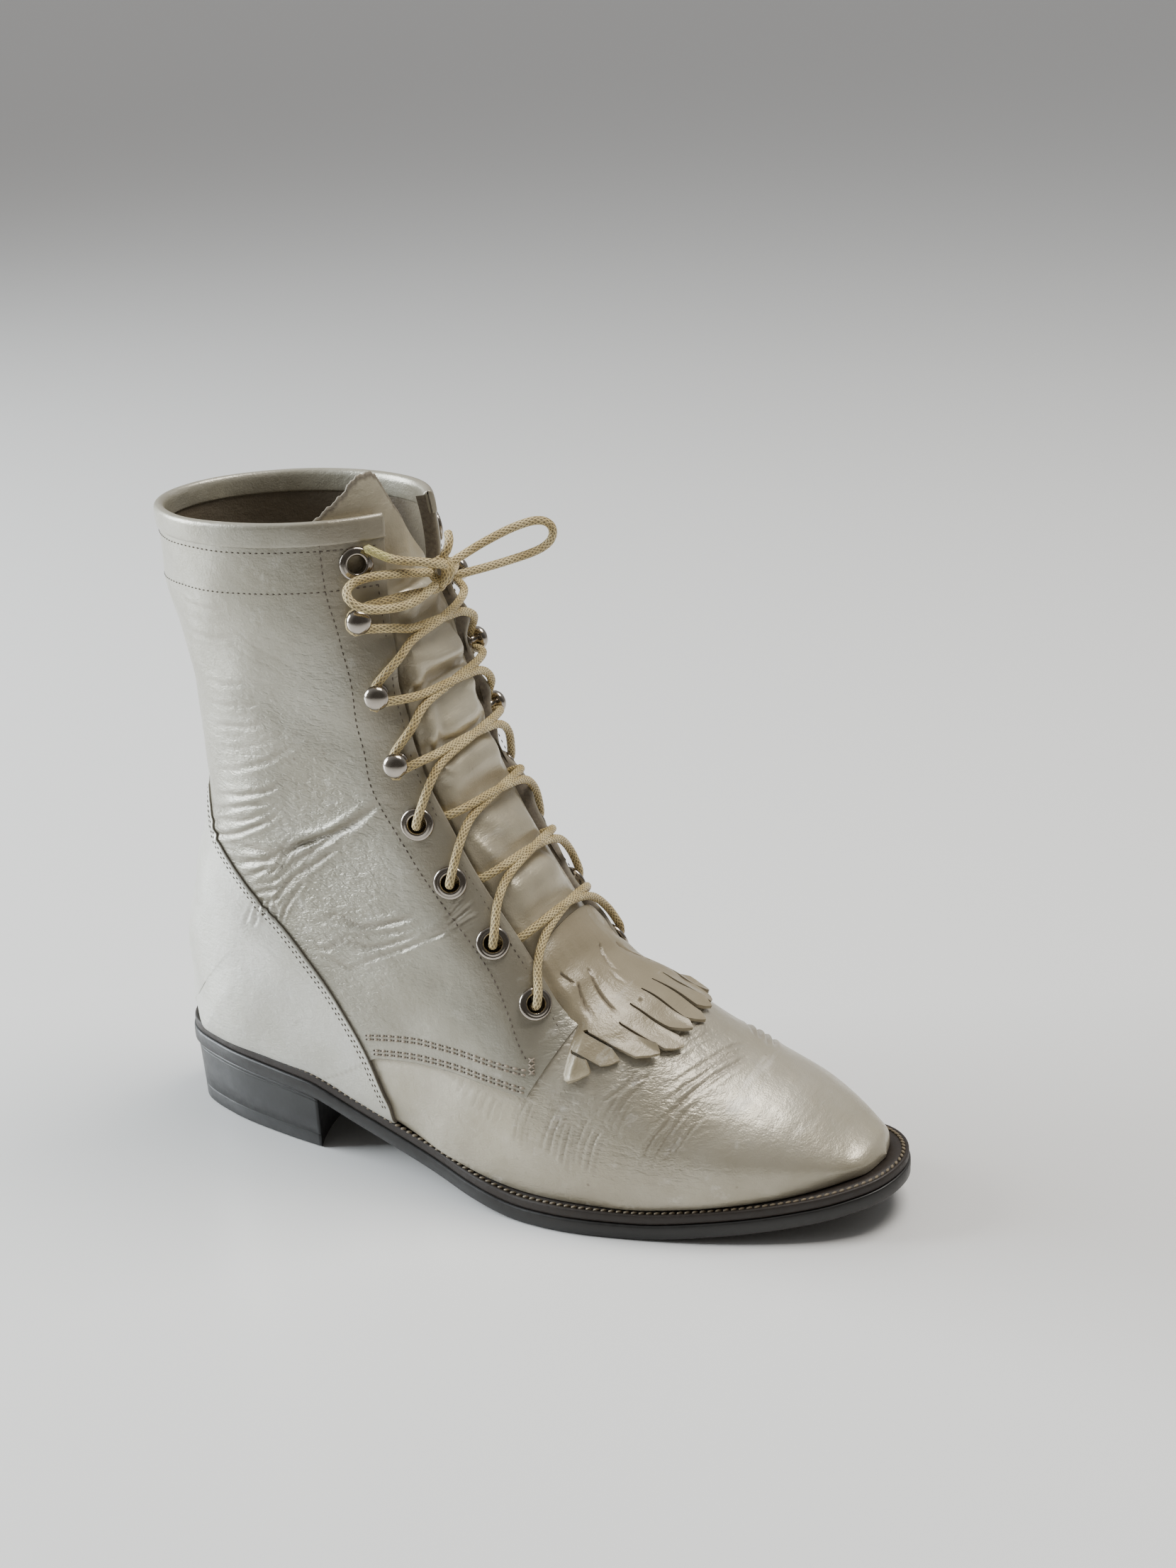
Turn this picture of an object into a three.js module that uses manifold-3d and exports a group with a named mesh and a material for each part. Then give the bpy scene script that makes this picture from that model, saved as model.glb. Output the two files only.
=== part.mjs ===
// A right packer boot, laced, with a fringed flap over the vamp.
// Millimetres, +Z up, +X to the toe, +Y to the inner side of the foot.
// The origin is on the floor, under the middle of the sole's length and width.
import * as THREE from "three";
import { mergeVertices } from "three/addons/utils/BufferGeometryUtils.js";
import Module from "manifold-3d";

const wasm = await Module();
wasm.setup();

// Driving sizes of the last and the sole
const soleLength = 281;
const ballWidth = 97.6;
const shaftRise = 199; // collar above the top of the sole, at the back
const heelHeight = 24.5; // heel block at its back
const toeSpring = 12.5;
const outsoleThick = 5.6;
const weltThick = 3.4;
const clearance = 0.3; // between pieces that meet
const lastingGap = 0.45; // between the upper and the welt, both curved

// Leather
const wall = 1.8;
const quarterStep = 0.8; // quarters lapped over the vamp
const counterStep = 1.7; // counter lapped over the quarters
const lapDepth = 0.7; // how far a lapped piece is let into the wall
const bindingHeight = 6.5;
const bindingStep = 0.9; // collar binding over the quarters, and inside
const bindingLip = 0.97; // binding's ends, past the facings' edges, as a share of half the throat
const insoleThick = 2;
const tongueThick = 1.4;
const kiltieThick = 1.2;

// Metal and lace
const eyeletOuter = 11.5;
const eyeletHole = 6;
const eyeletFlange = 1.1;
const hookBall = 8.4;
const hookStand = 4.2; // ball's middle above its base
const laceDiameter = 3;

// Heel block
const breastAt = 68;
const breastHollow = 4;
const breastRadius = 75;
const heelTaper = 2.2;
const seatReveal = 0.4; // sole's edge over the top of the heel block

const half = soleLength / 2;

// Smooth curve through a table's column, by the table's key column, with no overshoot
function smooth(rows, key, column) {
  const n = rows.length;
  const x = rows.map((row) => row[key]);
  const y = rows.map((row) => row[column]);
  const slope = [];
  for (let i = 0; i < n - 1; i++) slope.push((y[i + 1] - y[i]) / (x[i + 1] - x[i]));
  const tangent = y.map((_, i) => {
    if (i === 0) return slope[0];
    if (i === n - 1) return slope[n - 2];
    if (slope[i - 1] * slope[i] <= 0) return 0;
    return (2 * slope[i - 1] * slope[i]) / (slope[i - 1] + slope[i]);
  });
  return (at) => {
    let i = 0;
    while (i < n - 2 && at > x[i + 1]) i++;
    const span = x[i + 1] - x[i];
    const t = Math.min(1, Math.max(0, (at - x[i]) / span));
    const a = y[i] * (1 + 2 * t) * (1 - t) ** 2 + tangent[i] * span * t * (1 - t) ** 2;
    return a + y[i + 1] * t * t * (3 - 2 * t) - tangent[i + 1] * span * t * t * (1 - t);
  };
}

// Underside of the sole: rise is a share of the heel's height, spring of the toe spring
const underRows = [
  { at: 0, rise: 1, spring: 0 },
  { at: 0.13, rise: 0.965, spring: 0 },
  { at: 0.235, rise: 0.9, spring: 0 },
  { at: 0.32, rise: 0.64, spring: 0 },
  { at: 0.43, rise: 0.31, spring: 0 },
  { at: 0.51, rise: 0.1, spring: 0 },
  { at: 0.58, rise: 0, spring: 0 },
  { at: 0.71, rise: 0, spring: 0 },
  { at: 0.82, rise: 0, spring: 0.22 },
  { at: 0.92, rise: 0, spring: 0.56 },
  { at: 1, rise: 0, spring: 1 },
];
const riseAt = smooth(underRows, "at", "rise");
const springAt = smooth(underRows, "at", "spring");

function underside(x) {
  const at = (x + half) / soleLength;
  return riseAt(at) * heelHeight + springAt(at) * toeSpring;
}

function weltUnder(x) {
  return underside(x) + outsoleThick + clearance;
}

function soleTop(x) {
  return weltUnder(x) + weltThick;
}

// Sole's plan: outer and inner edges as shares of the ball's width
const planRows = [
  { at: 0, outer: 0, inner: 0 },
  { at: 0.025, outer: -0.172, inner: 0.172 },
  { at: 0.092, outer: -0.27, inner: 0.275 },
  { at: 0.195, outer: -0.334, inner: 0.322 },
  { at: 0.32, outer: -0.374, inner: 0.302 },
  { at: 0.434, outer: -0.42, inner: 0.318 },
  { at: 0.534, outer: -0.486, inner: 0.392 },
  { at: 0.626, outer: -0.5, inner: 0.472 },
  { at: 0.719, outer: -0.448, inner: 0.5 },
  { at: 0.811, outer: -0.366, inner: 0.468 },
  { at: 0.89, outer: -0.268, inner: 0.41 },
  { at: 0.95, outer: -0.168, inner: 0.336 },
  { at: 0.986, outer: -0.066, inner: 0.22 },
  { at: 1, outer: 0.08, inner: 0.08 },
];
const planSteps = 2; // points between two rows of the plan

// Closed ring of plan points, from the heel along the outer side to the toe and back along the inner side
function planRing(rows, steps) {
  const outer = rows.map((row) => new THREE.Vector3(row.at * soleLength - half, row.outer * ballWidth, 0));
  const inner = rows.map((row) => new THREE.Vector3(row.at * soleLength - half, row.inner * ballWidth, 0));
  const loop = outer.concat(inner.slice(1, -1).reverse());
  const curve = new THREE.CatmullRomCurve3(loop, true, "centripetal");
  return curve.getPoints(loop.length * steps).slice(0, -1);
}

// The ring moved inwards by a distance, which may change along the length
function insetRing(ring, inset) {
  const n = ring.length;
  return ring.map((point, i) => {
    const along = ring[(i + 1) % n].clone().sub(ring[(i + n - 1) % n]).normalize();
    const depth = typeof inset === "function" ? inset(point.x) : inset;
    return new THREE.Vector3(point.x - along.y * depth, point.y + along.x * depth, 0);
  });
}

// Geometry from corner points and triangles
function meshOf(points, faces) {
  const geometry = new THREE.BufferGeometry();
  const flat = points.flatMap((p) => [p.x, p.y, p.z]);
  geometry.setAttribute("position", new THREE.Float32BufferAttribute(flat, 3));
  geometry.setIndex(faces.flat());
  return geometry;
}

// Solid lofted through plan rings: each level is a ring and a height function
function loftPlan(levels) {
  const n = levels[0].ring.length;
  const points = levels.flatMap((level) =>
    level.ring.map((p) => new THREE.Vector3(p.x, p.y, level.height(p.x))));
  const faces = [];
  for (let k = 0; k < levels.length - 1; k++)
    for (let i = 0; i < n; i++) {
      const j = (i + 1) % n;
      const low = k * n;
      const high = low + n;
      faces.push([low + i, low + j, high + j], [low + i, high + j, high + i]);
    }
  const top = (levels.length - 1) * n;
  for (let i = 0; i < n / 2; i++) {
    const a = i;
    const b = i + 1;
    const c = (n - i - 1) % n;
    const d = (n - i) % n;
    if (b !== c) faces.push([a, c, b], [top + a, top + b, top + c]);
    if (a !== d) faces.push([a, d, c], [top + a, top + c, top + d]);
  }
  return meshOf(points, faces);
}

// Flat-sided ring between an outer and an inner plan ring
function bandPlan(outer, inner, low, high) {
  const n = outer.length;
  const place = (ring, height) => ring.map((p) => new THREE.Vector3(p.x, p.y, height(p.x)));
  const points = [place(outer, low), place(outer, high), place(inner, high), place(inner, low)].flat();
  const faces = [];
  for (let k = 0; k < 4; k++)
    for (let i = 0; i < n; i++) {
      const j = (i + 1) % n;
      const from = k * n;
      const to = ((k + 1) % 4) * n;
      faces.push([from + i, from + j, to + j], [from + i, to + j, to + i]);
    }
  return meshOf(points, faces);
}

// Solids for joins and cuts
function solid(geometry) {
  const plain = geometry.index ? geometry.toNonIndexed() : geometry.clone();
  plain.deleteAttribute("normal");
  plain.deleteAttribute("uv");
  const merged = mergeVertices(plain, 1e-4);
  return new wasm.Manifold(new wasm.Mesh({
    numProp: 3,
    vertProperties: merged.attributes.position.array,
    triVerts: new Uint32Array(merged.index.array),
  }));
}

function geometryOf(body) {
  const mesh = body.getMesh();
  const geometry = new THREE.BufferGeometry();
  geometry.setAttribute("position", new THREE.Float32BufferAttribute(mesh.vertProperties, 3));
  geometry.setIndex(Array.from(mesh.triVerts));
  return geometry;
}

// Sections of the last, from the toe over the instep to the collar.
// frontAt and footAt are shares of the sole's length; frontUp and footUp are shares of the shaft's
// rise above the top of the sole. The widths are shares of the ball's width: widest to each side, and
// where the section meets the sole. widest is its place between front and foot, square its roundness,
// middle the ridge's side shift and gap half the throat's opening.
const sections = [
  {
    frontAt: 0.974, frontUp: 0.008, footAt: 0.973, footUp: 0,
    outer: 0.082, inner: 0.082, footOuter: 0.082, footInner: 0.082,
    widest: 0.6, square: 1, middle: 0.082, gap: 0.2,
  },
  {
    frontAt: 0.962, frontUp: 0.036, footAt: 0.9645, footUp: 0,
    outer: -0.03, inner: 0.196, footOuter: -0.024, footInner: 0.188,
    widest: 0.62, square: 1, middle: 0.083, gap: 0.2,
  },
  {
    frontAt: 0.936, frontUp: 0.061, footAt: 0.9395, footUp: 0,
    outer: -0.11, inner: 0.285, footOuter: -0.1, footInner: 0.272,
    widest: 0.66, square: 1, middle: 0.085, gap: 0.22,
  },
  {
    frontAt: 0.872, frontUp: 0.137, footAt: 0.8754, footUp: 0,
    outer: -0.25, inner: 0.392, footOuter: -0.236, footInner: 0.376,
    widest: 0.7, square: 1, middle: 0.075, gap: 0.24,
  },
  {
    frontAt: 0.783, frontUp: 0.21, footAt: 0.7829, footUp: 0,
    outer: -0.378, inner: 0.45, footOuter: -0.36, footInner: 0.436,
    widest: 0.72, square: 1, middle: 0.05, gap: 0.26,
  },
  {
    frontAt: 0.698, frontUp: 0.29, footAt: 0.6833, footUp: 0,
    outer: -0.446, inner: 0.462, footOuter: -0.436, footInner: 0.452,
    widest: 0.73, square: 1, middle: 0.022, gap: 0.27,
  },
  {
    frontAt: 0.612, frontUp: 0.355, footAt: 0.5907, footUp: 0,
    outer: -0.462, inner: 0.43, footOuter: -0.458, footInner: 0.412,
    widest: 0.72, square: 0.95, middle: 0.004, gap: 0.27,
  },
  {
    frontAt: 0.58, frontUp: 0.436, footAt: 0.4911, footUp: 0,
    outer: -0.448, inner: 0.388, footOuter: -0.436, footInner: 0.336,
    widest: 0.68, square: 0.86, middle: 0, gap: 0.27,
  },
  {
    frontAt: 0.544, frontUp: 0.51, footAt: 0.3843, footUp: 0,
    outer: -0.42, inner: 0.37, footOuter: -0.37, footInner: 0.282,
    widest: 0.62, square: 0.75, middle: 0, gap: 0.27,
  },
  {
    frontAt: 0.507, frontUp: 0.576, footAt: 0.2705, footUp: 0,
    outer: -0.394, inner: 0.358, footOuter: -0.334, footInner: 0.288,
    widest: 0.57, square: 0.64, middle: 0, gap: 0.27,
  },
  {
    frontAt: 0.472, frontUp: 0.655, footAt: 0.1566, footUp: 0,
    outer: -0.374, inner: 0.352, footOuter: -0.3, footInner: 0.284,
    widest: 0.53, square: 0.55, middle: 0, gap: 0.268,
  },
  {
    frontAt: 0.452, frontUp: 0.706, footAt: 0.0641, footUp: 0,
    outer: -0.36, inner: 0.348, footOuter: -0.228, footInner: 0.226,
    widest: 0.5, square: 0.5, middle: 0, gap: 0.266,
  },
  {
    frontAt: 0.44, frontUp: 0.75, footAt: 0.0114, footUp: 0.002,
    outer: -0.352, inner: 0.344, footOuter: 0, footInner: 0,
    widest: 0.48, square: 0.48, middle: 0, gap: 0.262,
  },
  {
    frontAt: 0.432, frontUp: 0.793, footAt: 0.0125, footUp: 0.118,
    outer: -0.346, inner: 0.342, footOuter: 0, footInner: 0,
    widest: 0.48, square: 0.48, middle: 0, gap: 0.258,
  },
  {
    frontAt: 0.423, frontUp: 0.837, footAt: 0.0409, footUp: 0.287,
    outer: -0.342, inner: 0.34, footOuter: 0, footInner: 0,
    widest: 0.5, square: 0.52, middle: 0, gap: 0.25,
  },
  {
    frontAt: 0.418, frontUp: 0.886, footAt: 0.0754, footUp: 0.484,
    outer: -0.348, inner: 0.346, footOuter: 0, footInner: 0,
    widest: 0.5, square: 0.62, middle: 0, gap: 0.236,
  },
  {
    frontAt: 0.409, frontUp: 0.933, footAt: 0.0726, footUp: 0.685,
    outer: -0.366, inner: 0.366, footOuter: 0, footInner: 0,
    widest: 0.5, square: 0.78, middle: 0, gap: 0.21,
  },
  {
    frontAt: 0.402, frontUp: 0.98, footAt: 0.047, footUp: 0.88,
    outer: -0.39, inner: 0.39, footOuter: 0, footInner: 0,
    widest: 0.5, square: 0.92, middle: 0, gap: 0.185,
  },
  {
    frontAt: 0.393, frontUp: 1.087, footAt: 0.0434, footUp: 1.001,
    outer: -0.4, inner: 0.4, footOuter: 0, footInner: 0,
    widest: 0.5, square: 1, middle: 0, gap: 0.158,
  },
].map((row, index) => ({ ...row, index }));
const throatSection = 6;
const heelSection = 12;
const collarSection = sections.length - 1;

const column = {};
for (const name of Object.keys(sections[0])) column[name] = smooth(sections, "index", name);

// A section's own lengths, at a place t that runs from 0 at the toe to the last section at the collar
function sectionAt(t) {
  const read = (name) => column[name](t);
  const frontX = read("frontAt") * soleLength - half;
  const footX = read("footAt") * soleLength - half;
  const footUp = t <= heelSection - 1 ? 0 : read("footUp");
  return {
    front: new THREE.Vector3(frontX, 0, soleTop(frontX) + read("frontUp") * shaftRise),
    foot: new THREE.Vector3(footX, 0, soleTop(footX) + lastingGap + footUp * shaftRise),
    middle: read("middle") * ballWidth,
    gap: read("gap") * ballWidth,
    widest: read("widest"),
    square: read("square"),
    side: (v) => ({
      wide: read(v < 0 ? "outer" : "inner") * ballWidth,
      foot: read(v < 0 ? "footOuter" : "footInner") * ballWidth,
    }),
  };
}

const gapShare = 0.28; // of the way round from ridge to foot, taken by half the throat
const wideShare = 0.62; // where the section is widest
const tuck = 0.86; // share of the last quarter turn before the sole

// Point of the last's skin: v runs from -1 at the outer foot over 0 at the ridge to 1 at the inner foot
function skin(t, v) {
  const s = Math.abs(v);
  const section = sectionAt(t);
  const { wide, foot } = section.side(v);
  const reach = Math.abs(wide - section.middle);
  const throat = Math.asin(Math.min(0.9, section.gap / Math.max(reach, 1)) ** (1 / section.square));
  let y;
  let along;
  if (s <= wideShare) {
    const angle = s < gapShare
      ? (throat * s) / gapShare
      : throat + ((Math.PI / 2 - throat) * (s - gapShare)) / (wideShare - gapShare);
    y = section.middle + (wide - section.middle) * Math.sin(angle) ** section.square;
    along = section.widest * (1 - Math.max(0, Math.cos(angle)) ** section.square);
  } else {
    const closed = Math.min(1, Math.max(0, t - heelSection + 1));
    const turn = tuck + (1 - tuck) * closed;
    const angle = ((Math.PI / 2) * turn * (s - wideShare)) / (1 - wideShare);
    const end = Math.PI / 2 * turn;
    y = foot + (wide - foot) * (Math.cos(angle) - Math.cos(end)) / (1 - Math.cos(end));
    along = section.widest + (1 - section.widest) * Math.sin(angle) / Math.sin(end);
  }
  const point = section.front.clone().lerp(section.foot, along);
  point.y = y;
  return point;
}

// Outward direction of the skin
function outward(t, v) {
  const step = 0.02;
  const tLow = Math.max(0.05, t - 0.05);
  const tHigh = Math.min(collarSection, Math.max(t + 0.05, 0.15));
  const vLow = Math.max(-1, v - step);
  const vHigh = Math.min(1, v + step);
  const mid = Math.min(collarSection, Math.max(t, 0.1));
  let across = skin(mid, vHigh).sub(skin(mid, vLow));
  if (t >= heelSection && Math.abs(v) > 1 - step)
    across = skin(mid, -1 + step).sub(skin(mid, 1 - step));
  const along = skin(tHigh, v).sub(skin(tLow, v));
  return across.cross(along).normalize();
}

// Point at a distance from the skin
function offSkinFree(t, v, offset) {
  return skin(t, v).addScaledVector(outward(t, v), offset);
}

// The same, carried straight down past the foot by a heel's height
function offSkirt(t, v, offset) {
  const point = offSkinFree(t, Math.sign(v) * Math.min(1, Math.abs(v)), offset);
  point.z -= Math.max(0, Math.abs(v) - 1) * heelHeight;
  return point;
}

// The same, kept above the sole
function offSkin(t, v, offset) {
  const point = offSkinFree(t, v, offset);
  point.z = Math.max(point.z, soleTop(point.x) + lastingGap);
  return point;
}

// The same, carried on above the collar
function offRim(t, v, offset) {
  const rim = offSkin(Math.min(t, collarSection), v, offset);
  rim.z += Math.max(0, t - collarSection) * collarRun;
  return rim;
}

// Places round a section: over half the throat, out to the widest place and down to the foot
const gapColumns = 2;
const sideColumns = 3;
const footColumns = 3;
const columns = gapColumns + sideColumns + footColumns;

function columnPlace(c) {
  const s = Math.abs(c);
  const sign = Math.sign(c);
  if (s <= gapColumns) return (sign * gapShare * s) / gapColumns;
  if (s <= gapColumns + sideColumns)
    return sign * (gapShare + ((wideShare - gapShare) * (s - gapColumns)) / sideColumns);
  return sign * (wideShare + ((1 - wideShare) * (s - gapColumns - sideColumns)) / footColumns);
}

// Places along the boot: two to each section of the foot, one to each of the shaft
const rowPlaces = [];
for (let t = 0; t < heelSection + 1; t++) rowPlaces.push(t, t + 0.5);
for (let t = heelSection + 1; t < collarSection; t++) rowPlaces.push(t);
const collarRun = (sections[collarSection].frontUp - sections[collarSection - 1].frontUp) * shaftRise;
const bindingPlace = collarSection - bindingHeight / collarRun;
rowPlaces.push(collarSection);
const throatRow = rowPlaces.indexOf(throatSection);
const heelRow = rowPlaces.indexOf(heelSection);

// Closed wall between two offsets of a net of places, where keep says which cells it has
function wallOf(ts, vs, high, low, keep, closedFrom, place = offSkin) {
  const key = (i, j) => {
    if (ts[i] === 0) return 0;
    return i * vs.length + (i >= closedFrom && j === vs.length - 1 ? 0 : j);
  };
  const points = [];
  const seen = new Map();
  const corner = (i, j, layer) => {
    const name = key(i, j) * 2 + layer;
    if (!seen.has(name)) {
      seen.set(name, points.length);
      const offset = layer ? high : low;
      points.push(place(ts[i], vs[j], typeof offset === "function" ? offset(ts[i], vs[j]) : offset));
    }
    return seen.get(name);
  };
  const faces = [];
  const edges = new Map();
  const ring = (cell) => cell.filter(([i, j], k) => {
    const [a, b] = cell[(k + 1) % cell.length];
    return key(i, j) !== key(a, b);
  });
  for (let i = 0; i < ts.length - 1; i++)
    for (let j = 0; j < vs.length - 1; j++) {
      if (!keep(i, j)) continue;
      const cell = ring([[i, j], [i, j + 1], [i + 1, j + 1], [i + 1, j]]);
      for (let k = 1; k < cell.length - 1; k++) {
        const three = [cell[0], cell[k], cell[k + 1]];
        faces.push(three.map(([a, b]) => corner(a, b, 1)));
        faces.push(three.map(([a, b]) => corner(a, b, 0)).reverse());
      }
      cell.forEach((from, k) => {
        const to = cell[(k + 1) % cell.length];
        const forth = key(...from) + "," + key(...to);
        const back = key(...to) + "," + key(...from);
        if (edges.has(back)) edges.delete(back);
        else edges.set(forth, [from, to]);
      });
    }
  for (const [from, to] of edges.values()) {
    const [a, b] = [corner(...from, 1), corner(...to, 1)];
    const [c, d] = [corner(...from, 0), corner(...to, 0)];
    faces.push([a, c, d], [a, d, b]);
  }
  return meshOf(points, faces);
}

// All the way round a section, with the last place moved past the foot or short of it
function placesRound(end = 1) {
  const places = [];
  for (let c = -columns; c <= columns; c++) places.push(columnPlace(c));
  places[0] = -end;
  places[2 * columns] = end;
  return places;
}

const overThroat = (i, j) => i >= throatRow && Math.abs(j + 0.5 - columns) < gapColumns;

// Side outline of a lapped piece, as shares of the sole's length and of the rise above the sole's top
function sidePlace(row) {
  const x = row.at * soleLength - half;
  return new THREE.Vector2(x, soleTop(x) + row.up * shaftRise);
}

function sidePrism(edge, corners) {
  const shape = new THREE.Shape();
  const line = edge.map(sidePlace);
  shape.moveTo(line[0].x, line[0].y);
  shape.splineThru(line.slice(1));
  corners.map(sidePlace).forEach((p) => shape.lineTo(p.x, p.y));
  const geometry = new THREE.ExtrudeGeometry(shape, {
    depth: 2 * ballWidth,
    bevelEnabled: false,
    curveSegments: 2 * edge.length,
  });
  geometry.rotateX(Math.PI / 2);
  geometry.translate(0, ballWidth, 0);
  return solid(geometry);
}

const counterEdge = [
  { at: 0.02, up: 0.55 },
  { at: 0.075, up: 0.505 },
  { at: 0.141, up: 0.405 },
  { at: 0.196, up: 0.332 },
  { at: 0.26, up: 0.262 },
  { at: 0.315, up: 0.197 },
  { at: 0.352, up: 0.125 },
  { at: 0.386, up: 0.018 },
  { at: 0.392, up: -0.05 },
];
const quarterEdge = [
  { at: 0.33, up: 0.1 },
  { at: 0.374, up: 0.131 },
  { at: 0.441, up: 0.168 },
  { at: 0.505, up: 0.187 },
  { at: 0.585, up: 0.186 },
];
const facingEnd = [
  { at: 0.628, up: 0.3 },
  { at: 0.604, up: 0.335 },
  { at: 0.6, up: 0.45 },
  { at: 0.6, up: 1.4 },
  { at: -0.1, up: 1.4 },
  { at: -0.1, up: -0.3 },
  { at: 0.33, up: -0.3 },
];

const counterPrism = sidePrism(counterEdge, [{ at: -0.1, up: -0.05 }, { at: -0.1, up: 0.55 }]);
const quarterPrism = sidePrism(quarterEdge, facingEnd);

// The wall at the quarters' height, cut back to the vamp's in front of their edge
const lapFoot = 0.95;
const skirtPlaces = [-2, ...placesRound(), 2];
const shell = wallOf(rowPlaces, placesRound(), quarterStep, -wall, (i, j) => !overThroat(i, j), heelRow);
const vampRows = rowPlaces.filter((t) => t <= throatSection + 3);
const vampCutter = wallOf(vampRows, skirtPlaces, 4 * quarterStep, 0, () => true, Infinity, offSkirt);
let upper = solid(shell).subtract(solid(vampCutter).subtract(quarterPrism));

// Counter lapped over it
const counterRows = rowPlaces.filter((t) => t >= throatSection + 1 && t <= collarSection - 2);
const counterHeel = counterRows.indexOf(heelSection);
const outerHalf = (i, j) => Math.abs(j + 0.5 - columns) > gapColumns;
const counter = wallOf(counterRows, placesRound(lapFoot), counterStep, -lapDepth, outerHalf, counterHeel);
upper = upper.add(solid(counter).intersect(counterPrism));

// Binding rolled over the collar, past the facings' edges
const bindingPlaces = placesRound().filter((v) => Math.abs(v) >= gapShare);
bindingPlaces[bindingPlaces.findIndex((v) => v > 0) - 1] = -bindingLip * gapShare;
bindingPlaces[bindingPlaces.findIndex((v) => v > 0)] = bindingLip * gapShare;
const bindingRows = [bindingPlace, collarSection + bindingStep / collarRun];
const bindingSplit = bindingPlaces.findIndex((v) => v > 0) - 1;
const binding = wallOf(bindingRows, bindingPlaces, quarterStep + bindingStep, -wall - bindingStep,
  (i, j) => j !== bindingSplit, 0, offRim);
upper = upper.add(solid(binding));

const outsoleRing = planRing(planRows, planSteps);
const edgeRound = 0.8;
const outsole = loftPlan([
  { ring: insetRing(outsoleRing, edgeRound), height: underside },
  { ring: outsoleRing, height: (x) => underside(x) + edgeRound },
  { ring: outsoleRing, height: (x) => underside(x) + outsoleThick - edgeRound },
  { ring: insetRing(outsoleRing, edgeRound / 2), height: (x) => underside(x) + outsoleThick },
]);
const weltInset = 0.7;
const weltWidth = 11;
const welt = bandPlan(
  insetRing(outsoleRing, weltInset),
  insetRing(outsoleRing, weltInset + weltWidth),
  weltUnder,
  soleTop,
);

// Heel block under the seat, with a hollow breast
const breastX = breastAt - half;
function breastCorner(side) {
  const i = outsoleRing.findIndex((p, k) => {
    const next = outsoleRing[(k + 1) % outsoleRing.length];
    return side * p.y > 0 && (p.x - breastX) * (next.x - breastX) <= 0;
  });
  const from = outsoleRing[i];
  const to = outsoleRing[(i + 1) % outsoleRing.length];
  return from.clone().lerp(to, (breastX - from.x) / (to.x - from.x));
}
const seatRing = outsoleRing.filter((p) => p.x < breastX);
const heelPlan = [
  ...seatRing.filter((p, i) => i === 0 || p.y < 0),
  breastCorner(-1),
  breastCorner(1),
  ...seatRing.filter((p, i) => i > 0 && p.y > 0),
];
const heelBody = loftPlan([
  { ring: insetRing(heelPlan, heelTaper), height: () => 0 },
  { ring: insetRing(heelPlan, heelTaper / 2), height: () => heelHeight / 2 },
  { ring: insetRing(heelPlan, edgeRound + seatReveal), height: (x) => underside(x) + outsoleThick / 2 },
]);
const seatCutter = outsole.clone().translate(0, 0, -clearance);
const breastCutter = new THREE.CylinderGeometry(breastRadius, breastRadius, 4 * heelHeight, 96);
breastCutter.rotateX(Math.PI / 2);
breastCutter.translate(breastX - breastHollow + breastRadius, 0, 0);
const heel = geometryOf(solid(heelBody).subtract(solid(breastCutter)).subtract(solid(seatCutter)));

// Insole: lies inside the upper's foot on the welt
const footPlaces = rowPlaces.filter((t) => t > 0 && t < heelSection);
const footPoint = (t, v) => offSkin(t, v, -wall - clearance);
const insoleRing = [
  footPoint(heelSection, 1),
  ...footPlaces.toReversed().map((t) => footPoint(t, -1)),
  ...footPlaces.map((t) => footPoint(t, 1)),
];
insoleRing.splice(1 + footPlaces.length, 0, footPoint(0.25, 0));
const insolePlan = insetRing(insoleRing.map((p) => new THREE.Vector3(p.x, p.y, 0)), 3 * clearance);
const insole = loftPlan([
  { ring: insolePlan, height: (x) => soleTop(x) + 2 * clearance },
  { ring: insolePlan, height: (x) => soleTop(x) + 2 * clearance + insoleThick },
]);

// Tongue: inside the throat, from under the vamp to above the collar
const tongueRise = 9; // above the collar
const tongueFrom = throatSection - 0.9;
const tongueRows = rowPlaces.filter((t) => t > tongueFrom && t < collarSection);
const tongueEase = 0.9; // room under the facings, which bend round it
const tongueLap = 1.2; // half width, as a share of half the throat
const tonguePlaces = [-1, -0.8, -0.4, 0, 0.4, 0.8, 1].map((share) => share * tongueLap * gapShare);
const tongueTop = collarSection + tongueRise / collarRun;
const tonguePoint = (t, v, offset) => offRim(t, v, offset - wall - bindingStep - clearance - tongueEase);
const tongueTs = [tongueFrom, ...tongueRows, collarSection, tongueTop];
const tongue = wallOf(tongueTs, tonguePlaces, 0, -tongueThick, () => true, Infinity, tonguePoint);

// Lacing: places up each facing, from the throat's end along its edge and in from it
const lacingRows = [
  { kind: "eyelet", along: 11.5, inset: 7 },
  { kind: "eyelet", along: 36, inset: 7.6 },
  { kind: "eyelet", along: 61, inset: 8.6 },
  { kind: "eyelet", along: 84, inset: 9.5 },
  { kind: "hook", along: 105, inset: 7.4 },
  { kind: "hook", along: 129, inset: 8.2 },
  { kind: "hook", along: 152, inset: 11 },
  { kind: "eyelet", along: 168.7, inset: 10.2 },
];
const paceT = 0.02;
const paceV = 0.004;

function facingPlace({ along, inset }) {
  let t = throatSection;
  for (let left = along; left > 0; t += paceT)
    left -= skin(t, gapShare).distanceTo(skin(t + paceT, gapShare));
  let v = gapShare;
  for (let left = inset; left > 0; v += paceV)
    left -= skin(t, v).distanceTo(skin(t, v + paceV));
  return { t, v };
}

// Seat of a metal piece on a facing: its middle and the way out
function seatOn(side, { t, v }, lift) {
  const middle = offSkin(t, side * v, quarterStep + lift);
  const axis = outward(t, side * v);
  const turn = new THREE.Quaternion().setFromUnitVectors(new THREE.Vector3(0, 1, 0), axis);
  return { middle, axis, turn };
}

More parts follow.
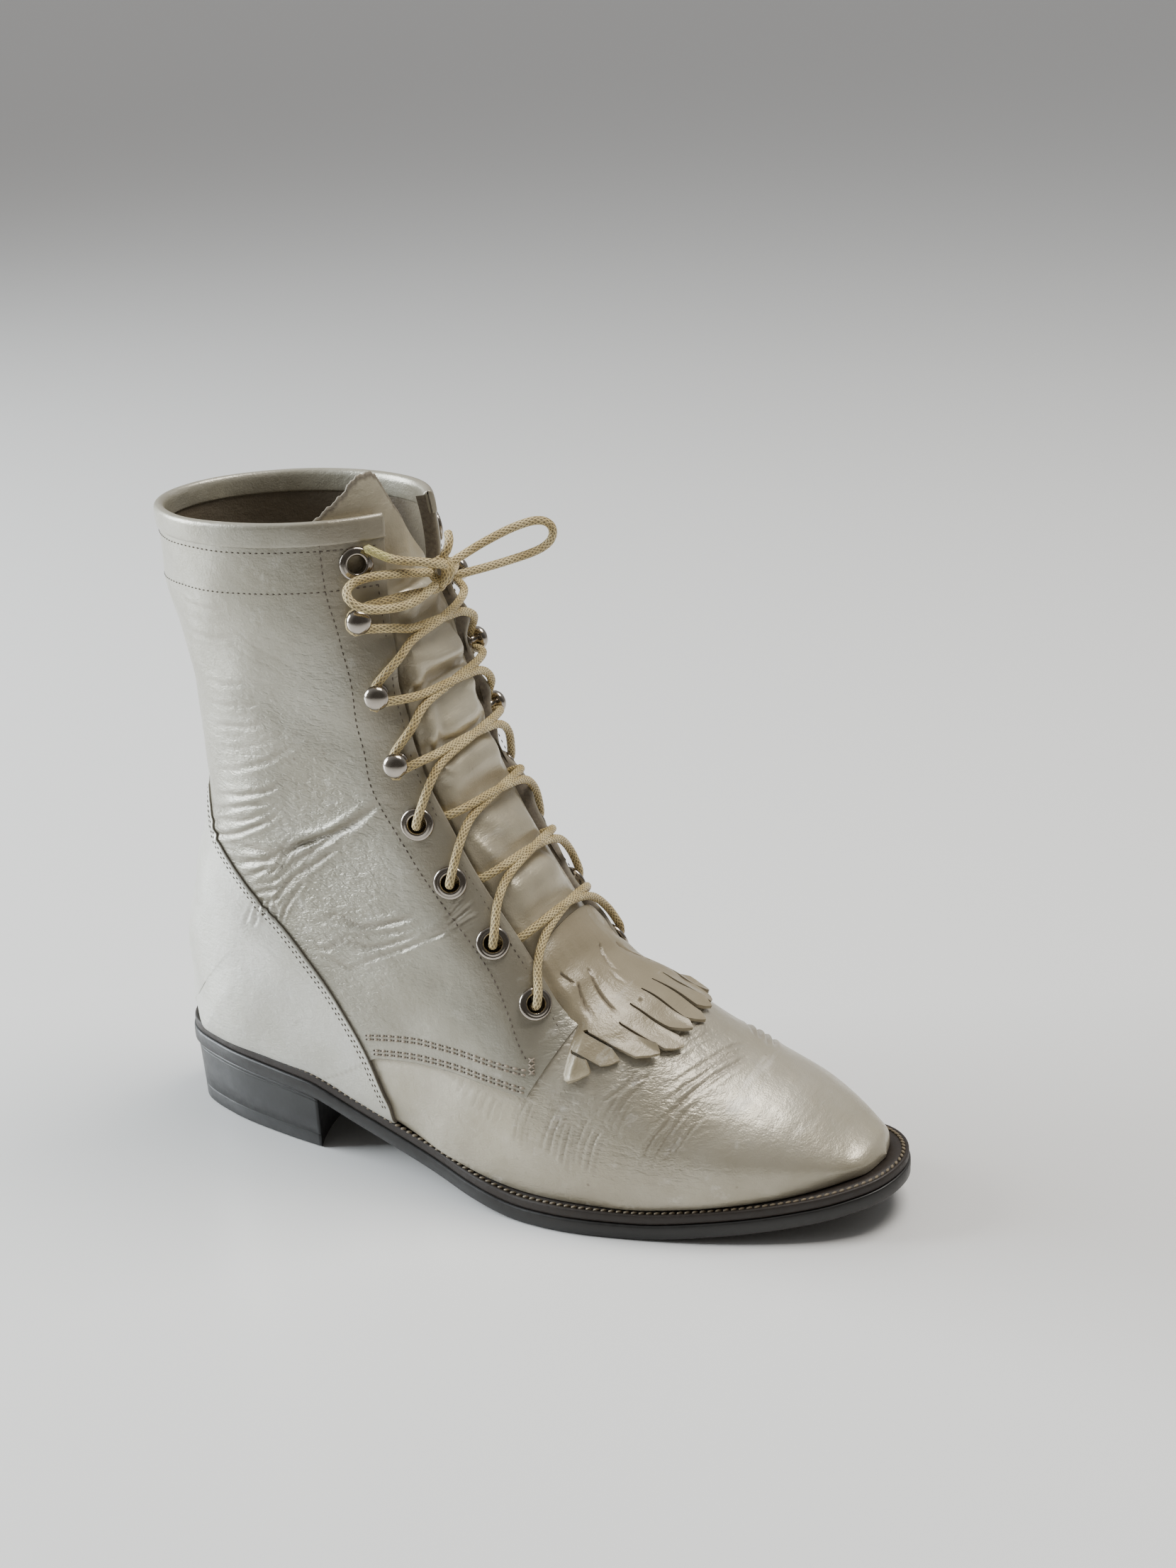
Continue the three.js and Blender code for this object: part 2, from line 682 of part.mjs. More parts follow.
function setOn(geometry, seat) {
  return geometry.applyQuaternion(seat.turn).translate(...seat.middle.toArray());
}

function turned(profile, segments) {
  const points = profile.map(([radius, height]) => new THREE.Vector2(radius, height));
  return new THREE.LatheGeometry(points, segments);
}

const metalSides = 10;
const metalLift = 0.45; // under a flat flange on the bent facing
const barrelWall = 0.6;
const barrelDepth = wall + quarterStep;
const holeRadius = eyeletHole / 2;
const barrelRadius = holeRadius + barrelWall;
const eyeletProfile = [
  [barrelRadius, -barrelDepth],
  [barrelRadius, 0],
  [eyeletOuter / 2, 0],
  [eyeletOuter / 2 - 1, eyeletFlange],
  [holeRadius, eyeletFlange],
  [holeRadius, -barrelDepth],
  [barrelRadius, -barrelDepth],
];
const hookBase = 3.5;
const hookNeck = 1.7;
const hookProfile = [
  [0, 0],
  [hookBase, 0],
  [hookBase - 0.5, 0.9],
  [hookNeck, 1.2],
  [hookNeck, hookStand],
  [hookBall / 2, hookStand + 0.8],
  [hookBall / 2 - 0.9, hookStand + 2.8],
  [0, hookStand + 4],
];

const places = lacingRows.map(facingPlace);
const metal = [];
for (const [side, sideName] of [[-1, "out"], [1, "in"]]) {
  const count = { eyelet: 0, hook: 0 };
  lacingRows.forEach(({ kind }, i) => {
    count[kind] += 1;
    const seat = seatOn(side, places[i], metalLift);
    const profile = kind === "eyelet" ? eyeletProfile : hookProfile;
    const name = `${kind}_${sideName}_${count[kind]}`;
    metal.push({ name, geometry: setOn(turned(profile, metalSides), seat) });
    if (kind !== "eyelet") return;
    const reach = barrelRadius + clearance;
    const punch = new THREE.CylinderGeometry(reach, reach, 6 * wall, metalSides);
    upper = upper.subtract(solid(setOn(punch, seat)));
  });
}

// Lace: strands cross over the tongue from one facing to the next place of the other
const laceRadius = laceDiameter / 2;
const strandSides = 5; // a crossing's strands
const strandStride = 9.5;
const bowSides = 8;
const bowStride = 2.3 * laceDiameter;
function roundShape(sides) {
  const corner = (k) => (2 * Math.PI * k) / sides;
  return new THREE.Shape(Array.from({ length: sides }, (_, k) =>
    new THREE.Vector2(laceRadius * Math.cos(corner(k)), laceRadius * Math.sin(corner(k)))));
}

// Round lace through points, with a step for each stride of its length
function laceAlong(points, sides, stride) {
  const extrudePath = new THREE.CatmullRomCurve3(points, false, "centripetal");
  const steps = Math.round(extrudePath.getLength() / stride);
  return new THREE.ExtrudeGeometry(roundShape(sides), { steps, extrudePath, bevelEnabled: false });
}

const overFacing = quarterStep + laceRadius + 0.9; // lace's middle over a facing's edge
const overTongue = 0.1; // and between the facings
const underFacing = 0.93; // where a strand stops before the other facing's edge, as a share of the gap
const laceRoom = 0.5; // between a strand and the metal that it leaves
const hookRoom = 0.6;
const holeRun = { back: 1, ahead: 4, rise: 0.1 }; // a strand's first steps over an eyelet's hole
// A strand's way up from one place to the next: shares of that way where it passes the facings' edges
const edgeFrom = 0.3;
const edgeToHook = 0.72;
const edgeToEyelet = 0.68;
const tongueRun = [
  { share: 0.42, aside: 0.62, rise: 0.4 },
  { share: 0.5, aside: 0, rise: 0 },
  { share: 0.6, aside: -0.62, rise: 0.4 },
];

// Way a strand leaves a place, towards the other facing: out of an eyelet's hole or from a hook's neck
function leaving(side, i, toward) {
  const seat = seatOn(side, places[i], metalLift);
  const way = toward.clone().sub(seat.middle);
  way.addScaledVector(seat.axis, -way.dot(seat.axis)).normalize();
  const at = (out, off) => seat.middle.clone().addScaledVector(seat.axis, out).addScaledVector(way, off);
  const besideHook = hookBall / 2 + laceRadius + hookRoom;
  if (lacingRows[i].kind === "hook") return [at(laceRadius + laceRoom, besideHook)];
  const over = eyeletFlange + laceRadius + laceRoom;
  return [at(over, -holeRun.back), at(over + holeRun.rise, holeRun.ahead)];
}

function strand(side, i) {
  const from = places[i];
  const to = places[i + 1];
  const at = (share, v, offset) => offSkin(from.t + (to.t - from.t) * share, side * v, offset);
  const middle = tongueRun.map(({ share, aside, rise }) => at(share, aside * gapShare, overTongue + rise));
  const ownEdge = at(edgeFrom, gapShare, overFacing);
  const farEdge = at(edgeToHook, -gapShare, overFacing);
  const end = lacingRows[i + 1].kind === "hook"
    ? [farEdge, ...leaving(-side, i + 1, farEdge)]
    : [at(edgeToEyelet, -underFacing * gapShare, overTongue)];
  return laceAlong([...leaving(side, i, ownEdge), ownEdge, ...middle, ...end], strandSides, strandStride);
}

const lastCrossing = lacingRows.findLastIndex(({ kind }) => kind === "hook");
const crossings = [];
for (let i = 0; i < lastCrossing; i++)
  crossings.push(geometryOf(solid(strand(-1, i)).add(solid(strand(1, i)))));

// Knot over the tongue, above the last hooks
const knotDrop = 1.1; // sections below the collar
const knotLift = 5.2; // its middle over the last's skin
const knotSides = 8;
const knotProfile = [[0, -4.2], [3.4, -3], [4.6, 0], [3.4, 3], [0, 4.2]];
const knotPlace = offSkin(collarSection - knotDrop, 0, knotLift);
const knot = turned(knotProfile, knotSides).rotateX(Math.PI / 2).translate(...knotPlace.toArray());
const runUnderKnot = { ahead: -1, aside: 0, up: -6.1 }; // where the last strands meet, from the knot's middle
const underKnot = knotPlace.clone().add(
  new THREE.Vector3(runUnderKnot.ahead, runUnderKnot.aside, runUnderKnot.up));
function toKnot(side) {
  const edge = offSkin(places[lastCrossing].t + edgeFrom, side * gapShare, overFacing);
  return laceAlong([...leaving(side, lastCrossing, edge), edge, underKnot], strandSides, strandStride);
}
crossings.push(geometryOf(solid(toKnot(-1)).add(solid(toKnot(1)))));

// Bow: loops and ends, from the knot's middle ahead, to the inner side and up
const bowRows = {
  lace_loop_out: [
    { ahead: 0, aside: -4.9, up: 1 },
    { ahead: -6, aside: -20, up: 4 },
    { ahead: -15, aside: -32, up: 3 },
    { ahead: -16, aside: -36, up: 0 },
    { ahead: -7, aside: -32, up: -4.5 },
    { ahead: 0, aside: -20, up: -5.5 },
    { ahead: 1.5, aside: -5.4, up: -2.5 },
  ],
  lace_loop_in: [
    { ahead: 0, aside: 4.9, up: 1 },
    { ahead: 7, aside: 18, up: 6 },
    { ahead: 18, aside: 30, up: 10.5 },
    { ahead: 23, aside: 38, up: 7 },
    { ahead: 21, aside: 35, up: 1 },
    { ahead: 12, aside: 18, up: -1.5 },
    { ahead: 2.5, aside: 5, up: -2.6 },
  ],
  lace_end_out: [
    { ahead: 4.4, aside: -3, up: 3.2 },
    { ahead: 2, aside: -12, up: 6.5 },
    { ahead: -6, aside: -20, up: 9 },
    { ahead: -13, aside: -26, up: 14 },
  ],
  lace_end_in: [
    { ahead: 0.8, aside: 0.8, up: 4.6 },
    { ahead: 1.6, aside: 2.2, up: 7 },
    { ahead: 1, aside: 5, up: 9.6 },
    { ahead: -1.5, aside: 8.5, up: 11.5 },
  ],
};

// Fringed flap over the vamp, in front of the quarters. Strips lie side by side round the vamp;
// from and to are the sides of a strip, and its slanted tip runs from tipFrom to tipTo.
const stripRows = [
  { from: -0.43, to: -0.362, tipFrom: 5.6, tipTo: 5.3, middle: true },
  { from: -0.355, to: -0.3, tipFrom: 5.26, tipTo: 5.06 },
  { from: -0.293, to: -0.22, tipFrom: 4.92, tipTo: 4.64 },
  { from: -0.213, to: -0.134, tipFrom: 4.66, tipTo: 4.44 },
  { from: -0.127, to: -0.046, tipFrom: 4.74, tipTo: 4.46 },
  { from: -0.039, to: 0.04, tipFrom: 4.66, tipTo: 4.42, middle: true },
  { from: 0.047, to: 0.13, tipFrom: 4.66, tipTo: 4.54 },
  { from: 0.137, to: 0.216, tipFrom: 4.6, tipTo: 4.8 },
  { from: 0.223, to: 0.296, tipFrom: 4.78, tipTo: 5 },
  { from: 0.303, to: 0.358, tipFrom: 5.1, tipTo: 5.3 },
  { from: 0.365, to: 0.43, tipFrom: 5.34, tipTo: 5.6, middle: true },
];

// Rows of the flap, from the strips' tips over the fork of the slits to its root between the facings
const flapRows = [
  { towardTip: 1, width: 1, rise: 0.9 },
  { towardTip: 0.5, width: 1, rise: 0.6 },
  { towardTip: 0, width: 1, rise: 1.1 },
  { t: throatSection + 0.05, width: 0.57, rise: 1.2 },
  { t: throatSection + 0.5, width: 0.52, rise: -1.6 },
  { t: throatSection + 1, width: 0.46, rise: -3.4 },
];
const forkMiddle = throatSection - 0.72;
const forkSide = throatSection - 0.3;
const forkFrom = 0.24; // where the fork leaves the middle's line
const forkTo = 0.32;
const flapTips = [];
stripRows.forEach((row, i) => {
  flapTips.push({ v: row.from, tip: row.tipFrom }, { v: row.to, tip: row.tipTo });
  const between = { v: (row.from + row.to) / 2, tip: (row.tipFrom + row.tipTo) / 2 };
  if (row.middle) flapTips.splice(-1, 0, between);
  if (i < stripRows.length - 1) flapTips[flapTips.length - 1].slit = true;
});
const flapPlace = (number, v, offset) => {
  const row = flapRows[number - 1];
  const side = THREE.MathUtils.clamp((Math.abs(v) - forkFrom) / (forkTo - forkFrom), 0, 1);
  const fork = forkMiddle + (forkSide - forkMiddle) * side;
  const { tip } = flapTips.find((place) => place.v === v);
  const t = row.t ?? fork + (tip - fork) * row.towardTip;
  return offSkin(t, v * row.width, offset + row.rise);
};
const forkRow = flapRows.findIndex((row) => row.towardTip === 0);
const flap = wallOf(
  flapRows.map((_, i) => i + 1),
  flapTips.map(({ v }) => v),
  kiltieThick,
  0,
  (i, j) => i >= forkRow || !flapTips[j].slit,
  Infinity,
  flapPlace,
);
const edgeShift = 0.003; // keeps the flap's cut off the upper's own edges
const quarterRoom = sidePrism(
  quarterEdge.map(({ at, up }) => ({ at, up: up - edgeShift })),
  facingEnd.map(({ at, up }) => ({ at: at + edgeShift, up })),
);
const flapHalf = 23.4; // between the facings
const betweenFacings = solid(new THREE.BoxGeometry(soleLength, 2 * flapHalf, 2 * shaftRise))
  .translate([0, 0, shaftRise]);
const kiltie = geometryOf(solid(flap).subtract(quarterRoom.subtract(betweenFacings)));

const group = new THREE.Group();

function addPiece(name, geometry, color, roughness, metalness = 0) {
  const material = new THREE.MeshStandardMaterial({ color, roughness, metalness });
  const mesh = new THREE.Mesh(geometry, material);
  mesh.name = name;
  group.add(mesh);
}

const ivory = 0xd8d2c4;
const black = 0x1c1b1b;
const nickel = 0xc9c4ba;
const cream = 0xd9cba6;
addPiece("outsole", outsole, black, 0.5);
addPiece("welt", welt, 0x2a211b, 0.6);
addPiece("heel", heel, black, 0.5);
addPiece("insole", insole, 0xb59a78, 0.8);
addPiece("upper", geometryOf(upper), ivory, 0.35);
addPiece("tongue", tongue, ivory, 0.4);
addPiece("kiltie", kiltie, ivory, 0.4);
for (const { name, geometry } of metal) addPiece(name, geometry, nickel, 0.25, 1);
crossings.forEach((geometry, i) => addPiece(`lace_crossing_${i + 1}`, geometry, cream, 0.7));
addPiece("lace_knot", knot, cream, 0.7);
for (const [name, rows] of Object.entries(bowRows)) {
  const points = rows.map(({ ahead, aside, up }) => new THREE.Vector3(ahead, aside, up).add(knotPlace));
  addPiece(name, laceAlong(points, bowSides, bowStride), cream, 0.7);
}

export default group;
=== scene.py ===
# A right packer boot in ivory leather: its looks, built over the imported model.
# Lengths are in millimetres in the tables and become metres when a mesh is made.
# +X is to the toe, +Y to the inner side of the foot; the origin is under the middle of the sole.
import math

import bmesh
import bpy
import numpy as np
from mathutils import Matrix, Vector


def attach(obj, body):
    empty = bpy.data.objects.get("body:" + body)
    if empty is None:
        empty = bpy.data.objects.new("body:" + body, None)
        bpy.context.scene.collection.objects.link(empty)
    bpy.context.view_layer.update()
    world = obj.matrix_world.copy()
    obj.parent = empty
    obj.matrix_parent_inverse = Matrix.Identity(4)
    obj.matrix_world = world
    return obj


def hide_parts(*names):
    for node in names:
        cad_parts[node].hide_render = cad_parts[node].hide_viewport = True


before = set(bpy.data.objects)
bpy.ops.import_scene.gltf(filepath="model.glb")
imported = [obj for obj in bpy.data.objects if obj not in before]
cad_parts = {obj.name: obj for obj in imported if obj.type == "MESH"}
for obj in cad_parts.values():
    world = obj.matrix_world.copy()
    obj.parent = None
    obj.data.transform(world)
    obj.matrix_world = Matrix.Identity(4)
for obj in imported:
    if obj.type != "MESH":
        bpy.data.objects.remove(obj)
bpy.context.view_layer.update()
millimetre = 0.001

# Camera, fitted to the photograph
cameraPlace = (0.35528, -0.62705, 0.42049)
cameraYaw = 2.0498
cameraPitch = 0.3725
cameraRoll = -0.0428
cameraLens = 52.0
cameraSensor = 36.0


# The camera looks along its yaw and pitch, and its roll turns it about that line
def makeCamera():
    data = bpy.data.cameras.new("camera")
    data.lens = cameraLens
    data.sensor_fit = "VERTICAL"
    data.sensor_height = cameraSensor
    camera = bpy.data.objects.new("camera", data)
    forward = Vector((
        math.cos(cameraYaw) * math.cos(cameraPitch),
        math.sin(cameraYaw) * math.cos(cameraPitch),
        -math.sin(cameraPitch),
    ))
    right = forward.cross(Vector((0, 0, 1))).normalized()
    up = right.cross(forward)
    turnedRight = right * math.cos(cameraRoll) + up * math.sin(cameraRoll)
    turnedUp = up * math.cos(cameraRoll) - right * math.sin(cameraRoll)
    matrix = camera.matrix_world.copy()
    for row in range(3):
        matrix[row][0] = turnedRight[row]
        matrix[row][1] = turnedUp[row]
        matrix[row][2] = -forward[row]
        matrix[row][3] = cameraPlace[row]
    camera.matrix_world = matrix
    bpy.context.collection.objects.link(camera)
    bpy.context.scene.camera = camera


makeCamera()
print("camera made")

# Sizes of the last and the sole, the same as the part's
soleLength = 281.0
half = soleLength / 2
ballWidth = 97.6
shaftRise = 199.0
heelHeight = 24.5
toeSpring = 12.5
outsoleThick = 5.6
weltThick = 3.4
clearance = 0.3
lastingGap = 0.45
wall = 1.8
quarterStep = 0.8
counterStep = 1.7
breastAt = 68.0
laceDiameter = 3.0
eyeletFlange = 1.1
gapShare = 0.28
wideShare = 0.62
tuck = 0.86
throatSection = 6
heelSection = 12
collarSection = 18


# Smooth curve through a table's column, with no overshoot, for arrays of places
def smooth(keys, values):
    x = np.asarray(keys, float)
    y = np.asarray(values, float)
    slope = np.diff(y) / np.diff(x)
    tangent = np.empty_like(y)
    tangent[0] = slope[0]
    tangent[-1] = slope[-1]
    product = slope[:-1] * slope[1:]
    total = slope[:-1] + slope[1:]
    tangent[1:-1] = np.where(product > 0, 2 * product / np.where(total == 0, 1, total), 0)

    def read(at):
        at = np.asarray(at, float)
        i = np.clip(np.searchsorted(x, at, side="right") - 1, 0, len(x) - 2)
        span = x[i + 1] - x[i]
        s = np.clip((at - x[i]) / span, 0, 1)
        a = y[i] * (1 + 2 * s) * (1 - s) ** 2 + tangent[i] * span * s * (1 - s) ** 2
        return a + y[i + 1] * s * s * (3 - 2 * s) - tangent[i + 1] * span * s * s * (1 - s)

    return read


# One smooth curve for each named column of a table, over its first column
def smoothRows(columns, rows):
    table = dict(zip(columns, zip(*rows)))
    return {name: smooth(table[columns[0]], table[name]) for name in columns[1:]}


underCurve = smoothRows(("at", "rise", "spring"), (
    (0, 1, 0),
    (0.13, 0.965, 0),
    (0.235, 0.9, 0),
    (0.32, 0.64, 0),
    (0.43, 0.31, 0),
    (0.51, 0.1, 0),
    (0.58, 0, 0),
    (0.71, 0, 0),
    (0.82, 0, 0.22),
    (0.92, 0, 0.56),
    (1, 0, 1),
))


# Heights of the outsole's underside, the welt's underside and the welt's top at a place along the sole
def underside(x):
    at = (np.asarray(x, float) + half) / soleLength
    return underCurve["rise"](at) * heelHeight + underCurve["spring"](at) * toeSpring


def weltUnder(x):
    return underside(x) + outsoleThick + clearance


def soleTop(x):
    return weltUnder(x) + weltThick


# Sections of the last, from the toe over the instep to the collar, the same as the part's
sectionNames = (
    "index", "frontAt", "frontUp", "footAt", "footUp", "outer", "inner",
    "footOuter", "footInner", "widest", "square", "middle", "gap",
)
sectionRows = (
    (0, 0.974, 0.008, 0.973, 0, 0.082, 0.082, 0.082, 0.082, 0.6, 1, 0.082, 0.2),
    (1, 0.962, 0.036, 0.9645, 0, -0.03, 0.196, -0.024, 0.188, 0.62, 1, 0.083, 0.2),
    (2, 0.936, 0.061, 0.9395, 0, -0.11, 0.285, -0.1, 0.272, 0.66, 1, 0.085, 0.22),
    (3, 0.872, 0.137, 0.8754, 0, -0.25, 0.392, -0.236, 0.376, 0.7, 1, 0.075, 0.24),
    (4, 0.783, 0.21, 0.7829, 0, -0.378, 0.45, -0.36, 0.436, 0.72, 1, 0.05, 0.26),
    (5, 0.698, 0.29, 0.6833, 0, -0.446, 0.462, -0.436, 0.452, 0.73, 1, 0.022, 0.27),
    (6, 0.612, 0.355, 0.5907, 0, -0.462, 0.43, -0.458, 0.412, 0.72, 0.95, 0.004, 0.27),
    (7, 0.58, 0.436, 0.4911, 0, -0.448, 0.388, -0.436, 0.336, 0.68, 0.86, 0, 0.27),
    (8, 0.544, 0.51, 0.3843, 0, -0.42, 0.37, -0.37, 0.282, 0.62, 0.75, 0, 0.27),
    (9, 0.507, 0.576, 0.2705, 0, -0.394, 0.358, -0.334, 0.288, 0.57, 0.64, 0, 0.27),
    (10, 0.472, 0.655, 0.1566, 0, -0.374, 0.352, -0.3, 0.284, 0.53, 0.55, 0, 0.268),
    (11, 0.452, 0.706, 0.0641, 0, -0.36, 0.348, -0.228, 0.226, 0.5, 0.5, 0, 0.266),
    (12, 0.44, 0.75, 0.0114, 0.002, -0.352, 0.344, 0, 0, 0.48, 0.48, 0, 0.262),
    (13, 0.432, 0.793, 0.0125, 0.118, -0.346, 0.342, 0, 0, 0.48, 0.48, 0, 0.258),
    (14, 0.423, 0.837, 0.0409, 0.287, -0.342, 0.34, 0, 0, 0.5, 0.52, 0, 0.25),
    (15, 0.418, 0.886, 0.0754, 0.484, -0.348, 0.346, 0, 0, 0.5, 0.62, 0, 0.236),
    (16, 0.409, 0.933, 0.0726, 0.685, -0.366, 0.366, 0, 0, 0.5, 0.78, 0, 0.21),
    (17, 0.402, 0.98, 0.047, 0.88, -0.39, 0.39, 0, 0, 0.5, 0.92, 0, 0.185),
    (18, 0.393, 1.087, 0.0434, 1.001, -0.4, 0.4, 0, 0, 0.5, 1, 0, 0.158),
)
section = smoothRows(sectionNames, sectionRows)
collarRun = (sectionRows[-1][2] - sectionRows[-2][2]) * shaftRise


# Points of the last's skin: v runs from -1 at the outer foot over 0 at the ridge to 1 at the inner foot
def skin(t, v):
    t, v = np.broadcast_arrays(np.asarray(t, float), np.asarray(v, float))
    s = np.abs(v)
    read = {name: curve(t) for name, curve in section.items()}
    outer = v < 0
    wide = np.where(outer, read["outer"], read["inner"]) * ballWidth
    foot = np.where(outer, read["footOuter"], read["footInner"]) * ballWidth
    middle = read["middle"] * ballWidth
    frontX = read["frontAt"] * soleLength - half
    footX = read["footAt"] * soleLength - half
    frontZ = soleTop(frontX) + read["frontUp"] * shaftRise
    footUp = np.where(t <= heelSection - 1, 0, read["footUp"])
    footZ = soleTop(footX) + lastingGap + footUp * shaftRise
    square = read["square"]
    reach = np.maximum(np.abs(wide - middle), 1)
    throat = np.arcsin(np.minimum(0.9, read["gap"] * ballWidth / reach) ** (1 / square))
    upper = np.where(
        s < gapShare,
        throat * s / gapShare,
        throat + (np.pi / 2 - throat) * (s - gapShare) / (wideShare - gapShare),
    )
    upper = np.clip(upper, 0, np.pi / 2)
    yUpper = middle + (wide - middle) * np.sin(upper) ** square
    alongUpper = read["widest"] * (1 - np.maximum(0, np.cos(upper)) ** square)
    closed = np.clip(t - heelSection + 1, 0, 1)
    turn = tuck + (1 - tuck) * closed
    end = np.pi / 2 * turn
    lower = end * np.clip((s - wideShare) / (1 - wideShare), 0, 1)
    yLower = foot + (wide - foot) * (np.cos(lower) - np.cos(end)) / (1 - np.cos(end))
    alongLower = read["widest"] + (1 - read["widest"]) * np.sin(lower) / np.sin(end)
    high = s <= wideShare
    y = np.where(high, yUpper, yLower)
    along = np.where(high, alongUpper, alongLower)
    x = frontX + (footX - frontX) * along
    z = frontZ + (footZ - frontZ) * along
    return np.stack([x, y, z], axis=-1)


# Unit normals of the skin, by small steps along and across it
def outward(t, v):
    t, v = np.broadcast_arrays(np.asarray(t, float), np.asarray(v, float))
    step = 0.02
    stride = 0.05
    low = np.maximum(stride, t - stride)
    high = np.minimum(collarSection, np.maximum(t + stride, 3 * stride))
    mid = np.minimum(collarSection, np.maximum(t, 2 * stride))
    across = skin(mid, np.minimum(1, v + step)) - skin(mid, np.maximum(-1, v - step))
    back = (t >= heelSection) & (np.abs(v) > 1 - step)
    overBack = skin(mid, np.full_like(v, -1 + step)) - skin(mid, np.full_like(v, 1 - step))
    across = np.where(back[..., None], overBack, across)
    normal = np.cross(across, skin(high, v) - skin(low, v))
    return normal / np.maximum(np.linalg.norm(normal, axis=-1, keepdims=True), 1e-9)


# Points at a distance from the skin, kept above the sole and carried on above the collar
def offSkin(t, v, offset):
    t = np.asarray(t, float)
    inside = np.minimum(t, collarSection)
    point = skin(inside, v) + outward(inside, v) * np.asarray(offset, float)[..., None]
    floor = soleTop(point[..., 0]) + lastingGap
    point[..., 2] = np.maximum(point[..., 2], floor)
    point[..., 2] += np.maximum(0, t - collarSection) * collarRun
    return point


def pointOff(t, v, offset):
    return offSkin(np.array([t]), np.array([v]), np.array([offset]))[0]


# Soft step from 0 at low to 1 at high, either way round
def soften(low, high, value):
    s = np.clip((np.asarray(value, float) - low) / (high - low), 0, 1)
    return s * s * (3 - 2 * s)


# Soft band: rises from a to b and falls from c to d
def band(value, a, b, c, d):
    return soften(a, b, value) * soften(d, c, value)


# Soft bump of height 1 round a middle
def hump(value, middle, width):
    return np.exp(-((value - middle) / width) ** 2)


print("last worked out")


# A grid of cells, whose corners are placed later: u and w run from 0 to 1 across and along it
def gridMesh(name, across, along):
    bm = bmesh.new()
    bmesh.ops.create_grid(bm, x_segments=across, y_segments=along, size=0.5)
    mesh = bpy.data.meshes.new(name)
    bm.to_mesh(mesh)
    bm.free()
    flat = np.empty(len(mesh.vertices) * 3)
    mesh.vertices.foreach_get("co", flat)
    place = flat.reshape(-1, 3)[:, :2] + 0.5
    return mesh, np.clip(place[:, 0], 0, 1), np.clip(place[:, 1], 0, 1)


weldGap = 0.00002


# Makes a mesh a visible piece of the one body
def shown(name, mesh, material, nodes=(), weld=weldGap):
    bm = bmesh.new()
    bm.from_mesh(mesh)
    if weld:
        bmesh.ops.remove_doubles(bm, verts=bm.verts, dist=weld)
        bmesh.ops.dissolve_degenerate(bm, edges=bm.edges, dist=weld / 2)
    for face in bm.faces:
        face.smooth = True
    bm.to_mesh(mesh)
    bm.free()
    thing = bpy.data.objects.new(name, mesh)
    bpy.context.collection.objects.link(thing)
    mesh.materials.clear()
    mesh.materials.append(material)
    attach(thing, "root")
    if nodes:
        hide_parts(*nodes)
    return thing


def setPoints(mesh, points):
    flat = (np.asarray(points) * millimetre).reshape(-1)
    mesh.vertices.foreach_set("co", flat)
    mesh.update()


def setMask(mesh, name, values):
    layer = mesh.attributes.new(name, "FLOAT", "POINT")
    layer.data.foreach_set("value", np.asarray(values, np.float32))


# Millimetres across the skin from its ridge to the foot, and along it from one section to the next
lengthAcross = 100
lengthAlong = 18


# Surface grid mapped by its own lengths: across and along in millimetres, for grain and weave
def setLengths(mesh, across, along):
    layer = mesh.uv_layers.new(name="lengths")
    corners = np.empty(len(mesh.loops), np.int32)
    mesh.loops.foreach_get("vertex_index", corners)
    flat = np.stack([across[corners], along[corners]], axis=-1).reshape(-1)
    layer.data.foreach_set("uv", flat)


# Sheet of leather on the last: a function turns u and w into places t, v and a height off the skin
def leatherSheet(piece, place):
    mesh, u, w = gridMesh(piece["name"], piece["across"], piece["along"])
    t, v, offset = place(u, w)
    inside = np.minimum(t, collarSection)
    base = skin(inside, v)
    normal = outward(inside, v)
    depth, troughShade = relief(base, t)
    strength = piece.get("relief", 1)
    offset = offset + depth * strength
    points = base + normal * offset[:, None]
    floor = soleTop(points[:, 0]) + lastingGap
    points[:, 2] = np.maximum(points[:, 2], floor)
    points[:, 2] += np.maximum(0, t - collarSection) * collarRun
    setPoints(mesh, points)
    # Painted shade in the creases' troughs
    setMask(mesh, "recessShade", troughShade * strength)
    setMask(mesh, "worn", wornHere(t, v))
    setMask(mesh, "dirtAndShade", dirtAndShadeHere(t, v))
    if "rawEdgeAndShadeMask" in piece:
        setMask(mesh, "rawEdgeAndShade", piece["rawEdgeAndShadeMask"](u, w))
    setLengths(mesh, v * lengthAcross, t * lengthAlong)
    return shown(piece["name"], mesh, piece["material"], piece.get("nodes", ()))


# Gives a sheet of leather its thickness, inwards from its face
def thicken(thing, thick):
    solid = thing.modifiers.new("thickness", "SOLIDIFY")
    solid.thickness = thick * millimetre
    solid.offset = -1


# Where the leather is crinkled by wear: little on toe, counter and facings, most at ankle and flex
def wornHere(t, v):
    s = np.abs(v)
    flex = band(t, 3.6, 4.2, 5.9, 6.6) * soften(0.9, 0.5, s)
    shaft = band(t, 8.0, 9.6, 14.6, 16.9) * soften(0.42, 0.56, s)
    ankle = band(t, 9.2, 10.4, 12.2, 13.4) * soften(0.4, 0.52, s)
    return np.clip(0.1 + 0.4 * flex + 0.55 * shaft + 0.35 * ankle, 0, 1)


# Where the leather is painted darker, part dirt from handling and part painted shade: along the facings, under
# the laces, round the flex, low along the waist, and a painted shadow line under the quarter's lapped edge
def dirtAndShadeHere(t, v):
    s = np.abs(v)
    facing = soften(0.5, 0.4, s) * soften(5.8, 6.6, t)
    flex = 0.4 * band(t, 3.6, 4.4, 5.6, 6.4)
    waist = 0.5 * band(t, 4.6, 5.4, 8.4, 9.6) * soften(0.72, 0.95, s)
    edge = np.where(v < 0, quarterS[-1](t), quarterS[1](t))
    # Painted contact shadow, with some dirt, just below the quarter's lapped edge
    lapped = 0.7 * hump(s - edge, 0.006, 0.008) * (t > 5.85) * (t < 9)
    return np.clip(facing + flex + waist + lapped, 0, 1)
